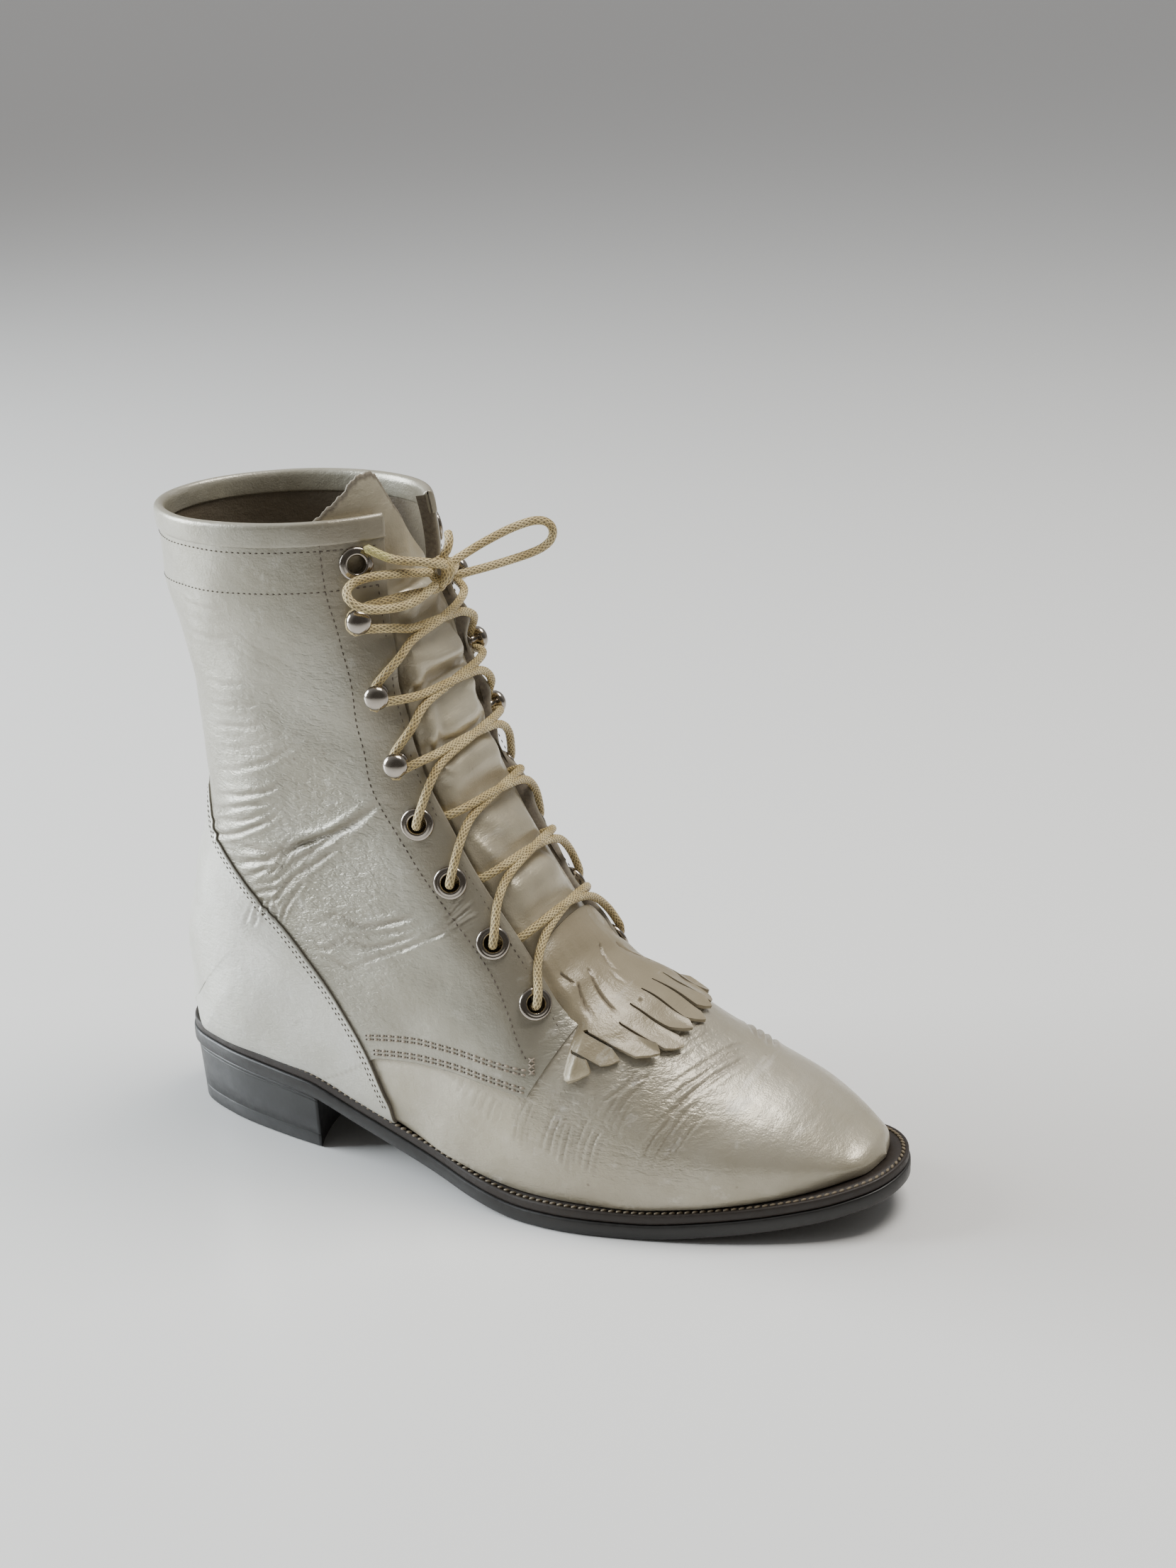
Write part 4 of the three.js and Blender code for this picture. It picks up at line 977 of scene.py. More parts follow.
# Sole: rings of the plan, drawn in by an inset and set at heights
def curveSpan(four, steps):
    p0, p1, p2, p3 = four
    d0, d1, d2 = (max(1e-4, np.linalg.norm(b - a)) ** 0.5 for a, b in ((p0, p1), (p1, p2), (p2, p3)))
    m1 = ((p1 - p0) / d0 - (p2 - p0) / (d0 + d1) + (p2 - p1) / d1) * d1
    m2 = ((p2 - p1) / d1 - (p3 - p1) / (d1 + d2) + (p3 - p2) / d2) * d1
    c2 = -3 * p1 + 3 * p2 - 2 * m1 - m2
    c3 = 2 * p1 - 2 * p2 + m1 + m2
    return [p1 + m1 * s + c2 * s * s + c3 * s ** 3 for s in np.arange(steps) / steps]


def closedCurve(points, steps):
    n = len(points)
    out = []
    for i in range(n):
        out.extend(curveSpan([points[(i + k - 1) % n] for k in range(4)], steps))
    return np.array(out)


planRows = (
    (0, 0, 0),
    (0.025, -0.172, 0.172),
    (0.092, -0.27, 0.275),
    (0.195, -0.334, 0.322),
    (0.32, -0.374, 0.302),
    (0.434, -0.42, 0.318),
    (0.534, -0.486, 0.392),
    (0.626, -0.5, 0.472),
    (0.719, -0.448, 0.5),
    (0.811, -0.366, 0.468),
    (0.89, -0.268, 0.41),
    (0.95, -0.168, 0.336),
    (0.986, -0.066, 0.22),
    (1, 0.08, 0.08),
)


def planLoop():
    outer = [np.array([at * soleLength - half, side * ballWidth]) for at, side, _ in planRows]
    inner = [np.array([at * soleLength - half, side * ballWidth]) for at, _, side in planRows[1:-1]]
    return closedCurve(outer + inner[::-1], 14)


# The loop moved inwards by an inset, which may change along the sole
def insetLoop(loop, inset):
    along = np.roll(loop, -1, axis=0) - np.roll(loop, 1, axis=0)
    along /= np.linalg.norm(along, axis=1, keepdims=True)
    depth = np.asarray(inset(loop[:, 0]) if callable(inset) else inset, float)
    return loop + np.stack([-along[:, 1], along[:, 0]], axis=-1) * (depth * np.ones(len(loop)))[:, None]


# Skin over rings of points, each ring a loop and its heights
def loftMesh(name, levels):
    rings = [np.column_stack([loop, height(loop[:, 0])]) for loop, height in levels]
    n = len(rings[0])
    mesh = bpy.data.meshes.new(name)
    points = np.vstack(rings)
    faces = []
    for k in range(len(rings) - 1):
        for i in range(n):
            j = (i + 1) % n
            faces.append((k * n + i, k * n + j, (k + 1) * n + j, (k + 1) * n + i))
    mesh.from_pydata((points * millimetre).tolist(), [], faces)
    return mesh


# A cap's rings: the loop closes on its long middle line
def capLevels(loop, height, shares):
    middle = (loop + np.roll(loop[::-1], 1, axis=0)) / 2
    return [(loop * share + middle * (1 - share), height) for share in shares]


outline = planLoop()


def soleLevels(profile, low, high):
    levels = []
    for inset, share, shift in profile:
        loop = insetLoop(outline, inset)
        levels.append((loop, lambda x, share=share, shift=shift: low(x) + (high(x) - low(x)) * share + shift))
    return levels


# Profiles run from the bottom: inset of the plan, share of the height, and a shift in millimetres
def buildOutsole():
    def high(x):
        return underside(x) + outsoleThick

    profile = (
        (1.3, 0, 0.0),
        (0.45, 0, 0.15),
        (0.05, 0, 0.7),
        (0, 0.5, 0.0),
        (0.05, 1, -0.7),
        (0.35, 1, -0.2),
        (1.0, 1, 0.0),
    )
    levels = soleLevels(profile, underside, high)
    shares = (0, 0.3, 0.6, 0.85)
    bottom = capLevels(insetLoop(outline, profile[0][0]), underside, shares)
    top = capLevels(insetLoop(outline, profile[-1][0]), high, shares[::-1])
    mesh = loftMesh("outsole_edge", bottom + levels + top)
    shown("outsole_edge", mesh, soleBlack, ("outsole",))


def buildWelt():
    profile = (
        (0.7, 0, 0.1),
        (0.62, 0.25, 0.0),
        (0.7, 0.5, 0.0),
        (0.62, 0.8, 0.0),
        (0.95, 1, -0.12),
        (1.4, 1, 0.0),
        (1.75, 1, 0.0),
        (2.1, 1, -0.4),
        (2.9, 1, -0.45),
        (3.3, 1, 0.0),
        (5.0, 1, 0.1),
        (11.7, 1, 0.0),
        (11.7, 0, 0.1),
        (0.7, 0, 0.1),
    )
    mesh = loftMesh("welt_band", soleLevels(profile, weltUnder, soleTop))
    shown("welt_band", mesh, weltBrown, ("welt",))


# Heel block: the sole's plan behind a hollow breast
breastX = breastAt - half
breastHollow = 4.0
breastRadius = 75.0
heelTaper = 2.2


def breastAtSide(y):
    return breastX - breastHollow + breastRadius - np.sqrt(breastRadius ** 2 - np.asarray(y) ** 2)


def heelLoop(inset, sidePoints=60, breastPoints=24):
    loop = insetLoop(outline, inset)
    n = len(loop)
    sides = []
    for order in (1, -1):
        path = [loop[0]]
        for k in range(1, n):
            here = loop[(order * k) % n]
            if here[0] > breastAtSide(here[1]):
                last = path[-1]
                share = (breastAtSide(last[1]) - last[0]) / (here[0] - last[0])
                path.append(last + (here - last) * share)
                break
            path.append(here)
        path = np.array(path)
        length = walked(path)
        at = np.linspace(0, length[-1], sidePoints)
        sides.append(np.column_stack([np.interp(at, length, path[:, k]) for k in (0, 1)]))
    ys = np.linspace(sides[0][-1, 1], sides[1][-1, 1], breastPoints + 2)[1:-1]
    breast = np.column_stack([breastAtSide(ys), ys])
    return np.vstack([sides[0], breast, sides[1][:0:-1]])


def buildHeel():
    profile = (
        (heelTaper + 0.7, 0, 0.0),
        (heelTaper + 0.1, 0, 0.5),
        (heelTaper - 0.1, 0.22, 0.0),
        (heelTaper - 0.1, 0.24, 0.0),
        (heelTaper + 0.12, 0.247, 0.0),
        (heelTaper - 0.15, 0.254, 0.0),
        (1.75, 0.55, 0.0),
        (1.3, 0.9, 0.0),
        (1.2, 0.93, 0.0),
        (1.5, 0.936, 0.0),
        (1.1, 0.944, 0.0),
        (1.05, 0.985, 0.0),
        (1.6, 1, 0.0),
    )
    levels = []
    for inset, share, shift in profile:
        def height(x, share=share, shift=shift):
            return (underside(x) - clearance) * share + shift
        levels.append((heelLoop(inset), height))

    def closing(level, shares):
        loop, height = level
        spine = 0.6 * loop[:, 0] + 0.4 * loop[:, 0].mean()
        middle = np.column_stack([spine, np.zeros(len(loop))])
        return [(loop * share + middle * (1 - share), height) for share in shares]

    bottom = closing(levels[0], (0.02, 0.4, 0.8))
    top = closing(levels[-1], (0.8, 0.4, 0.02))
    mesh = loftMesh("heel_stack", bottom + levels + top)
    shown("heel_stack", mesh, heelBlack, ("heel",))


buildOutsole()
buildWelt()
buildHeel()
print("sole, welt and heel made")


rimCells = 3


# How far past a sheet's rim a column lies: 0 on the sheet, rising to 1 over its last cells
def rimFall(u, columns, count=rimCells):
    return np.clip((u - (1 - count / columns)) * columns / count, 0, 1)


# Quarters: from the facing's raw edge to the lapped edge over the vamp, and up to the collar. The inner
# side's raw edge shows, so it is thicker and more wavy
facingThicker = {-1: 0.3, 1: 2.9}
facingWave = {-1: 0.2, 1: 1.1}
quarterPunch = 4.3
liningPunch = 4.6


lapEnd = 9.3


def buildQuarter(side, name):
    columns = 200
    facingCells = 6
    lapCells = 3
    wave = facingWave[side]

    def place(u, w):
        t = quarterLow + (collarSection - quarterLow - 0.02) * w
        facing = rimFall(1 - u, columns, facingCells)
        lap = rimFall(u, columns, lapCells)
        inner = facingCells / columns
        outer = 1 - lapCells / columns
        s = np.clip((u - inner) / (outer - inner), 0, 1)
        edge = quarterS[side](t)
        s = gapShare + (edge - gapShare) * s
        roundOff = 0.35 * hump(s, gapShare, 0.012)
        offset = quarterStep - roundOff - facing * (quarterStep + wall + facingThicker[side] - roundOff)
        flare = hump(s, gapShare, 0.07) * band(t, 6.2, 7.2, 16.4, 17.4)
        offset = offset + wave * flare * (np.sin(2.1 * t + 1) + 0.6 * np.sin(4.7 * t))
        s = s - 0.006 * np.sin(np.pi * facing) - 0.012 * wave * flare * np.sin(3.3 * t + 2)
        offset = offset - lap * (quarterStep + clearance) * (t < lapEnd)
        return t, side * s, offset

    # Raw edges of the facing and the lap; at the lap the dark fibres also paint the shadow under the step
    def rawEdgeAndShadeMask(u, w):
        t = quarterLow + (collarSection - quarterLow) * w
        facing = np.clip(rimFall(1 - u, columns, facingCells) * 4, 0, 1)
        return np.maximum(facing, 0.6 * (rimFall(u, columns, lapCells) > 0.2) * (t < lapEnd))

    quarter = {"name": name, "across": columns, "along": 380, "material": ivoryShaded, "rawEdgeAndShadeMask": rawEdgeAndShadeMask}
    punched(leatherSheet(quarter, place), quarterPunch)


# Vamp: from the toe over the ridge to the throat, and back under both quarters
vampBack = smooth((0, 0.27, 0.3, 0.36, 0.55, 0.8, 1), (6.0, 6.0, 6.08, 6.6, 8.0, 9.3, 9.6))


def buildVamp():
    def place(u, w):
        v = 2 * u - 1
        return w * vampBack(np.abs(v)), v, np.zeros_like(u)

    vamp = {"name": "vamp", "across": 330, "along": 290, "material": ivoryVampLit, "nodes": ("upper",)}
    leatherSheet(vamp, place)


# Counter: from its lapped edge round the heel to the back
def buildCounter(side, name):
    edge, low, high = counterS[side]
    columns = 80

    def place(u, w):
        t = low + (high - low) * w
        fall = rimFall(1 - u, columns)
        inner = rimCells / columns
        share = np.clip((u - inner) / (1 - inner), 0, 1)
        s = edge(t) + (1 - edge(t)) * share
        offset = counterStep - fall * (counterStep - clearance)
        return t, side * s, offset

    def rawEdgeAndShadeMask(u, w):
        return 0.95 * (rimFall(1 - u, columns) > 0.2)

    counter = {"name": name, "across": columns, "along": 190, "material": ivoryCounterLit, "rawEdgeAndShadeMask": rawEdgeAndShadeMask}
    leatherSheet(counter, place)


# Lining: the inside of shaft and instep
def buildLining(side, name):
    def place(u, w):
        t = throatSection - 0.3 + (collarSection - throatSection + 0.28) * w
        return t, side * (gapShare + (1 - gapShare) * u), np.full_like(u, -wall)

    lining = {"name": name, "across": 60, "along": 110, "material": liningLeather, "relief": 0.7}
    punched(leatherSheet(lining, place), liningPunch)


def buildToeLining():
    def place(u, w):
        return 0.4 + (throatSection - 0.45) * w, (2 * u - 1) * 0.99, np.full_like(u, -wall)

    lining = {"name": "lining_toe", "across": 60, "along": 50, "material": liningLeather}
    leatherSheet(lining, place)


# Binding rolled over the collar: rise over the rim and distance from the skin, from outside to inside
bindingProfile = (
    (-6.5, 0.75),
    (-6.4, 1.1),
    (-5.8, 1.34),
    (-3.5, 1.45),
    (-1.2, 1.38),
    (0.1, 1.0),
    (0.7, 0.3),
    (0.85, -0.5),
    (0.6, -1.3),
    (-0.2, -2.0),
    (-1.5, -2.35),
    (-4.5, -2.4),
    (-6.2, -2.3),
    (-6.5, -1.9),
)


bindingFront = 0.97 * gapShare
bindingMiddle = -0.5
pinchShare = 0.012


def buildBinding(side, name):
    keys = np.linspace(0, 1, len(bindingProfile))
    rise, out = (smooth(keys, column) for column in zip(*bindingProfile))

    def place(u, w):
        v = side * (bindingFront + (1 - bindingFront) * u)
        pinch = np.clip(u / pinchShare, 0, 1) ** 0.5
        offset = bindingMiddle + (out(w) - bindingMiddle) * (0.15 + 0.85 * pinch)
        return collarSection + rise(w) / collarRun, v, offset

    binding = {"name": name, "across": 150, "along": 40, "material": ivoryBindingShaded, "relief": 0.5}
    leatherSheet(binding, place)


buildVamp()
for side, word in ((-1, "out"), (1, "in")):
    buildQuarter(side, "quarter_" + word)
    buildCounter(side, "counter_" + word)
    buildLining(side, "lining_" + word)
    buildBinding(side, "binding_" + word)
buildToeLining()
print("upper made")


# Tongue: under the facings, its raw top leaning to the outer side above the collar
tongue = {
    "name": "tongue_leather",
    "across": 90,
    "along": 240,
    "material": ivoryTongueLit,
    "nodes": ("tongue",),
    "relief": 0.5,
    "thick": 1.3,
    "from": throatSection - 0.9,
    "depth": 3.9,
    "drop": 1.5,
    "nearEdge": ((5, -0.336), (14, -0.336), (16, -0.38), (17.2, -0.43), (18.7, -0.46)),
    "farEdge": (
        (5, 0.336), (14, 0.336), (15.5, 0.29), (16.5, 0.2), (17.3, 0.05), (17.9, -0.08), (18.7, -0.14),
    ),
    "topEdge": (
        (0, 17.96), (0.12, 18.16), (0.28, 18.4), (0.4, 18.6), (0.52, 18.66), (0.64, 18.6), (0.78, 18.36),
        (1, 17.9),
    ),
    # The tongue swells between the crossings of the lace: one height for each place along the facing
    "pillows": (1.6, 1.9, 2.2, 2.5, 3.4, 3.9, 3.6, 1.5),
    "longFolds": 0.6,
    "crossFolds": 0.5,
    "lean": 1.2,
}


def buildTongue():
    near, far, top = (smooth(*zip(*tongue[name])) for name in ("nearEdge", "farEdge", "topEdge"))
    rowT = [row[0] for row in lacing]

    def place(u, w):
        ragged = 0.012 * np.sin(61 * u) + 0.008 * np.sin(137 * u + 1)
        t = tongue["from"] + (top(u) + ragged * (w > 0.97) - tongue["from"]) * w
        v = near(t) + (far(t) - near(t)) * u
        hidden = soften(0.8 * gapShare, 1.02 * gapShare, np.abs(v)) * soften(17.4, 16.2, t)
        height = np.interp(t, rowT, tongue["pillows"])
        phase = np.interp(t, rowT, np.arange(len(rowT)))
        lopsided = 0.12 * np.sin(2.3 * t) + 0.5 * v * np.sin(1.7 * t + 1)
        bulge = height * np.abs(np.cos(np.pi * (phase + lopsided))) ** 1.6 * soften(18.0, 17.2, t)
        farSide = 0.3 * (v > 0)
        shows = 1 - soften((0.5 - farSide) * gapShare, (0.85 - farSide) * gapShare, np.abs(v))
        bunched = hump(t, 11.8, 1.2) + 0.35
        along = np.sin(v * 44 + 1.1 * t + 2.2 * np.sin(t * 1.3)) * soften(5.5, 8, t)
        across = np.sin(t * 3.6 + 9 * v + 2.2 * np.sin(9 * v + 1.4 * t)) * soften(6, 9, t)
        folds = tongue["longFolds"] * bunched * along + tongue["crossFolds"] * across
        calm = 1 - 0.75 * soften(17, 18, t)
        offset = shows * (bulge + folds * calm) - tongue["depth"] - tongue["drop"] * hidden
        return t, v, offset - tongue["lean"] * soften(17.8, 18.6, t)

    def rawEdgeAndShadeMask(u, w):
        return 0.8 * np.maximum(w > 0.992, np.maximum(u < 0.008, u > 0.992))

    tongue["rawEdgeAndShadeMask"] = rawEdgeAndShadeMask
    thicken(leatherSheet(tongue, place), tongue["thick"])


# Fringed flap: strips side by side, each with its slanted tip, and how far the tip curls up
fringe = {
    "name": "kiltie_leather",
    "along": 96,
    "material": ivoryFringeShaded,
    "nodes": ("kiltie",),
    "relief": 0.25,
    "thick": 1.2,
    "tilt": 0.4,
    "stripCells": 12,
    "forkMiddle": throatSection - 0.72,
    "forkSide": throatSection - 0.3,
    "forkShare": 0.6,
    "strips": (
        (-0.43, -0.362, 5.6, 5.3, 0.7),
        (-0.355, -0.3, 5.26, 5.06, 0.2),
        (-0.293, -0.22, 4.92, 4.64, 1.7),
        (-0.213, -0.134, 4.66, 4.44, 0.5),
        (-0.127, -0.046, 4.74, 4.46, 1.1),
        (-0.039, 0.04, 4.66, 4.42, 0.3),
        (0.047, 0.13, 4.66, 4.54, 0.9),
        (0.137, 0.216, 4.6, 4.8, 0.4),
        (0.223, 0.296, 4.78, 5, 1.2),
        (0.303, 0.358, 5.1, 5.3, 0.3),
        (0.365, 0.43, 5.34, 5.6, 0.7),
    ),
    "rootRows": ((0.7, 6.05, 0.645), (0.84, 6.5, 0.635), (1, 7, 0.62)),
    "rise": ((0, 0.8), (0.3, 0.6), (0.6, 0.9), (0.7, 0.6), (0.84, -1.2), (1, -3.0)),
    "cuts": (
        ((6.42, -0.2), (6.16, -0.19)),
        ((6.04, -0.18), (5.62, -0.24)),
        ((6.04, -0.1), (5.44, -0.18)),
        ((6.2, 0.02), (5.78, -0.02)),
        ((6.06, 0.11), (5.6, 0.17)),
    ),
    "pinholes": ((5.64, -0.05), (5.24, -0.09), (5.5, 0.08)),
    "cutWidth": 0.42,
    "pinWidth": 0.55,
    "cutDepth": 0.8,
}


# Columns of the fringe's grid: place across, tip, share of the strip, curl, and 1 at a strip's last
def fringeColumns():
    count = fringe["stripCells"]
    columns = []
    for start, end, tipFrom, tipTo, curl in fringe["strips"]:
        for j in range(count + 1):
            share = j / count
            slant = tipFrom + (tipTo - tipFrom) * share
            corner = 0.2 * max(0, share - 0.7) / 0.3 + 0.05 * max(0, 0.3 - share) / 0.3
            columns.append((start + (end - start) * share, slant + corner, share, curl, j == count))
    return np.array(columns, float)


# How far a place is inside a cut or a pinhole of the flap
def fringeCuts(base):
    cut = np.zeros(len(base))
    for line in fringe["cuts"]:
        path = curveThrough(line, 5)
        gap = distanceTo(base, skin(path[:, 0], path[:, 1]))[0]
        cut = np.maximum(cut, np.exp(-(gap / fringe["cutWidth"]) ** 4))
    for hole in fringe["pinholes"]:
        gap = np.linalg.norm(base - skin(hole[0], hole[1]), axis=1)
        cut = np.maximum(cut, np.exp(-(gap / fringe["pinWidth"]) ** 4))
    return cut


# Opens the slits between the strips, from the tips to the fork
def openSlits(mesh, at, w, slitStarts):
    bm = bmesh.new()
    bm.from_mesh(mesh)
    gone = []
    for face in bm.faces:
        first = min(int(at[vert.index]) for vert in face.verts)
        middle = sum(w[vert.index] for vert in face.verts) / len(face.verts)
        if first in slitStarts and middle < fringe["forkShare"]:
            gone.append(face)
    bmesh.ops.delete(bm, geom=gone, context="FACES")
    bm.to_mesh(mesh)
    bm.free()


def buildFringe():
    table = fringeColumns()
    count = len(table) - 1
    mesh, u, w = gridMesh(fringe["name"], count, fringe["along"])
    at = np.rint(u * count).astype(int)
    v, tip, share, curl = (table[at, k] for k in range(4))
    fork = fringe["forkMiddle"] + (fringe["forkSide"] - fringe["forkMiddle"]) * soften(0.24, 0.32, np.abs(v))
    forkShare = fringe["forkShare"]
    rootShares, rootPlaces, rootWidths = zip(*fringe["rootRows"])
    rowKeys = (forkShare, *rootShares)
    rootT = np.interp(w, rootShares, rootPlaces)
    risen = (w - forkShare) / (rootShares[0] - forkShare)
    rootT = np.where(w < rootShares[0], fork + (rootT - fork) * risen, rootT)
    t = np.where(w < forkShare, tip + (fork - tip) * w / forkShare, rootT)
    v = v * smooth(rowKeys, (1, *rootWidths))(np.maximum(w, forkShare))
    rise = smooth(*zip(*fringe["rise"]))(w)
    free = np.clip(1 - w / forkShare, 0, 1)
    cup = (2 * share - 1) ** 2
    hidden = soften(gapShare - 0.03, gapShare + 0.02, np.abs(v)) * soften(5.6, 5.76, t)
    waves = 0.3 * np.sin(9 * t + 14 * v) + 0.2 * np.sin(23 * v + 4 * t)
    tilt = fringe["tilt"] * np.clip(3 * free, 0, 1) * (0.5 - share)
    lifted = curl * free ** 2.4 * (0.7 + 0.6 * share) + tilt
    offset = rise + fringe["thick"] + lifted + 0.08 * cup + waves * (1 - hidden)
    offset = offset * (1 - hidden) - 0.35 * hidden
    offset = offset - 0.9 * soften(gapShare - 0.05, gapShare - 0.01, np.abs(v)) * soften(5.9, 6.1, t)
    base = skin(t, v)
    deep, troughShade = relief(base, t)
    cut = fringeCuts(base)
    offset = offset + deep * fringe["relief"] - fringe["cutDepth"] * cut
    setPoints(mesh, base + outward(t, v) * offset[:, None])
    # Painted shade in the creases, cuts and pinholes
    setMask(mesh, "recessShade", np.maximum(0.4 * troughShade, 1.6 * cut))
    setMask(mesh, "rawEdgeAndShade", 0.35 * (cup > 0.99) * (w < forkShare))
    setLengths(mesh, v * lengthAcross, t * lengthAlong)
    openSlits(mesh, at, w, set(np.flatnonzero(table[:-1, 4]).tolist()))
    flap = shown(fringe["name"], mesh, fringe["material"], fringe["nodes"], weld=0)
    thicken(flap, fringe["thick"])
    cutEdge = flap.modifiers.new("cutEdge", "BEVEL")
    cutEdge.width = 0.12 * millimetre
    cutEdge.segments = 1
    cutEdge.limit_method = "ANGLE"
    cutEdge.angle_limit = math.radians(55)
    cutEdge.harden_normals = True


buildTongue()
buildFringe()
print("tongue and fringe made")

# Eyelets and hooks: turned profiles of radius and height over the seat
metalLift = 0.45
eyelet = {
    "node": "eyelet",
    "profile": (
        (3.0, -3.2), (3.0, 0.55), (3.12, 0.95), (3.4, 1.2), (3.9, 1.22), (4.3, 1.05), (4.55, 0.98),
        (4.9, 1.0), (5.35, 0.8), (5.68, 0.4), (5.75, 0.0), (5.7, -0.4), (3.6, -0.45), (3.6, -3.05),
        (4.6, -3.05), (4.75, -3.3), (4.5, -3.6), (3.9, -3.7), (3.3, -3.5),
    ),
    "closed": True,
}
hook = {
    "node": "hook",
    "profile": (
        (0, -0.4), (3.5, -0.4), (3.5, 0.1), (3.2, 0.6), (2.4, 1.0), (1.85, 1.3), (1.7, 2.0), (1.75, 3.9),
        (2.4, 4.25), (3.5, 4.45), (4.05, 5.0), (4.2, 5.7), (4.0, 6.5), (3.4, 7.3), (2.4, 7.9), (1.2, 8.2),
        (0, 8.25),
    ),
    "closed": False,
}
turnSteps = 30


def seatTurn(middle, axis):
    matrix = Vector(axis).to_track_quat("Z", "Y").to_matrix().to_4x4()
    for row in range(3):
        matrix[row][3] = middle[row] * millimetre
    return matrix


def buildMetal(side, word):
    numbers = {"eyelet": 0, "hook": 0}
    for row, place in zip(lacingRows, lacing):
        numbers[row["kind"]] += 1
        piece = eyelet if row["kind"] == "eyelet" else hook
        number = numbers[row["kind"]]
        bm = bmesh.new()
        verts = [bm.verts.new((out * millimetre, 0, up * millimetre)) for out, up in piece["profile"]]
        pairs = list(zip(verts, verts[1:]))
        if piece["closed"]:
            pairs.append((verts[-1], verts[0]))
        edges = [bm.edges.new(pair) for pair in pairs]
        bmesh.ops.spin(
            bm, geom=verts + edges, cent=(0, 0, 0), axis=(0, 0, 1), angle=2 * math.pi,
            steps=turnSteps, use_merge=True,
        )
        bmesh.ops.remove_doubles(bm, verts=bm.verts, dist=0.00001)
        bmesh.ops.recalc_face_normals(bm, faces=bm.faces)
        middle, axis = seatOn(side, place, metalLift)
        bmesh.ops.transform(bm, matrix=seatTurn(middle, axis), verts=bm.verts)
        name = f"{piece['node']}_{word}_{number}"
        mesh = bpy.data.meshes.new("turned_" + name)
        bm.to_mesh(mesh)
        bm.free()
        shown("turned_" + name, mesh, nickel, (name,))


buildMetal(-1, "out")
buildMetal(1, "in")
print("eyelets and hooks made")

# Lace
laceRadius = laceDiameter / 2
overFacing = quarterStep + laceRadius + 0.9
overTongue = 0.1
underFacing = 0.93
behindFacing = 0.035
hookNeck = 1.7
aboveHookSeat = 2.75
crossings = 7
lastHook = crossings - 1
spanSteps = 16


# Smooth curve through points, evenly stepped in millimetres
def laceCurve(points, step=1.2):
    points = [np.asarray(point, float) for point in points]
    rows = [2 * points[0] - points[1]] + points + [2 * points[-1] - points[-2]]
    out = []
    for i in range(1, len(rows) - 2):
        out.extend(curveSpan(rows[i - 1:i + 3], spanSteps))
    out.append(points[-1])
    out = np.array(out)
    length = walked(out)
    at = np.linspace(0, length[-1], max(8, int(length[-1] / step)))
    return np.column_stack([np.interp(at, length, out[:, k]) for k in range(3)])


# Round lace along a curve, with rounded ends, mapped round and along its length
def laceTube(name, line, sides=12, waxedTip=0):
    length = walked(line)
    tangent = np.gradient(line, length, axis=0)
    tangent /= np.linalg.norm(tangent, axis=1, keepdims=True)
    side = np.cross(tangent[0], [0.3, 0.2, 1.0])
    frames = []
    for direction in tangent:
        side = side - direction * (side @ direction)
        side = side / np.linalg.norm(side)
        frames.append((side, np.cross(direction, side)))
    fromEnd = np.minimum(length, length[-1] - length) + 0.02
    reach = laceRadius * np.sqrt(1 - (1 - np.clip(fromEnd / laceRadius, 0, 1)) ** 2)
    mesh, u, w = gridMesh(name, sides, len(line) - 1)
    row = np.rint(w * (len(line) - 1)).astype(int)
    first, second = np.array(frames)[row].transpose(1, 0, 2)
    angle = 2 * math.pi * u[:, None]
    setPoints(mesh, line[row] + reach[row, None] * (first * np.cos(angle) + second * np.sin(angle)))
    setLengths(mesh, u, length[row])
    waxedFrom = length[-1] - waxedTip
    setMask(mesh, "waxed", soften(waxedFrom, waxedFrom + 2, length[row]) * (waxedTip > 0))
    return mesh


def joined(name, meshes):
    bm = bmesh.new()
    for mesh in meshes:
        bm.from_mesh(mesh)
        bpy.data.meshes.remove(mesh)
    whole = bpy.data.meshes.new(name)
    bm.to_mesh(whole)
    bm.free()
    return whole


# A place's own directions: its middle, the way out, and the way towards the other facing
def lacePlace(side, i, toward):
    middle, axis = seatOn(side, lacing[i], metalLift)
    way = np.asarray(toward) - middle
    way = way - axis * (way @ axis)
    way /= np.linalg.norm(way)
    return middle, axis, way


# A point between two lacing places, at a share of the way up, off the skin
def onFacing(side, i, share, v, offset):
    t = lacing[i][0] + (lacing[i + 1][0] - lacing[i][0]) * share
    return pointOff(t, side * v, offset)


# Up through an eyelet and over its flange: distances along its axis and towards the other facing
eyeletRoute = (
    (-4.4, -0.8),
    (-1.0, -0.9),
    (eyeletFlange + 0.6, -0.2),
    (eyeletFlange + laceRadius + 0.35, 2.6),
    (eyeletFlange + laceRadius + 0.3, 5.0),
)


def outOfEyelet(side, i, toward):
    middle, axis, way = lacePlace(side, i, toward)
    return [middle + axis * up + way * over for up, over in eyeletRoute]


# Round a hook's neck, from below it to above it
def roundHook(side, i, toward):
    middle, axis, way = lacePlace(side, i, toward)
    t, s = lacing[i]
    upward = skin(t + 0.05, side * s) - skin(t - 0.05, side * s)
    upward = upward - axis * (upward @ axis)
    upward /= np.linalg.norm(upward)
    reach = hookNeck + laceRadius + 0.15
    angles = [turn * math.pi for turn in (-0.45, -0.72, 1, 0.72, 0.45)]
    return [
        middle + axis * aboveHookSeat + reach * (way * math.cos(angle) + upward * math.sin(angle))
        for angle in angles
    ]


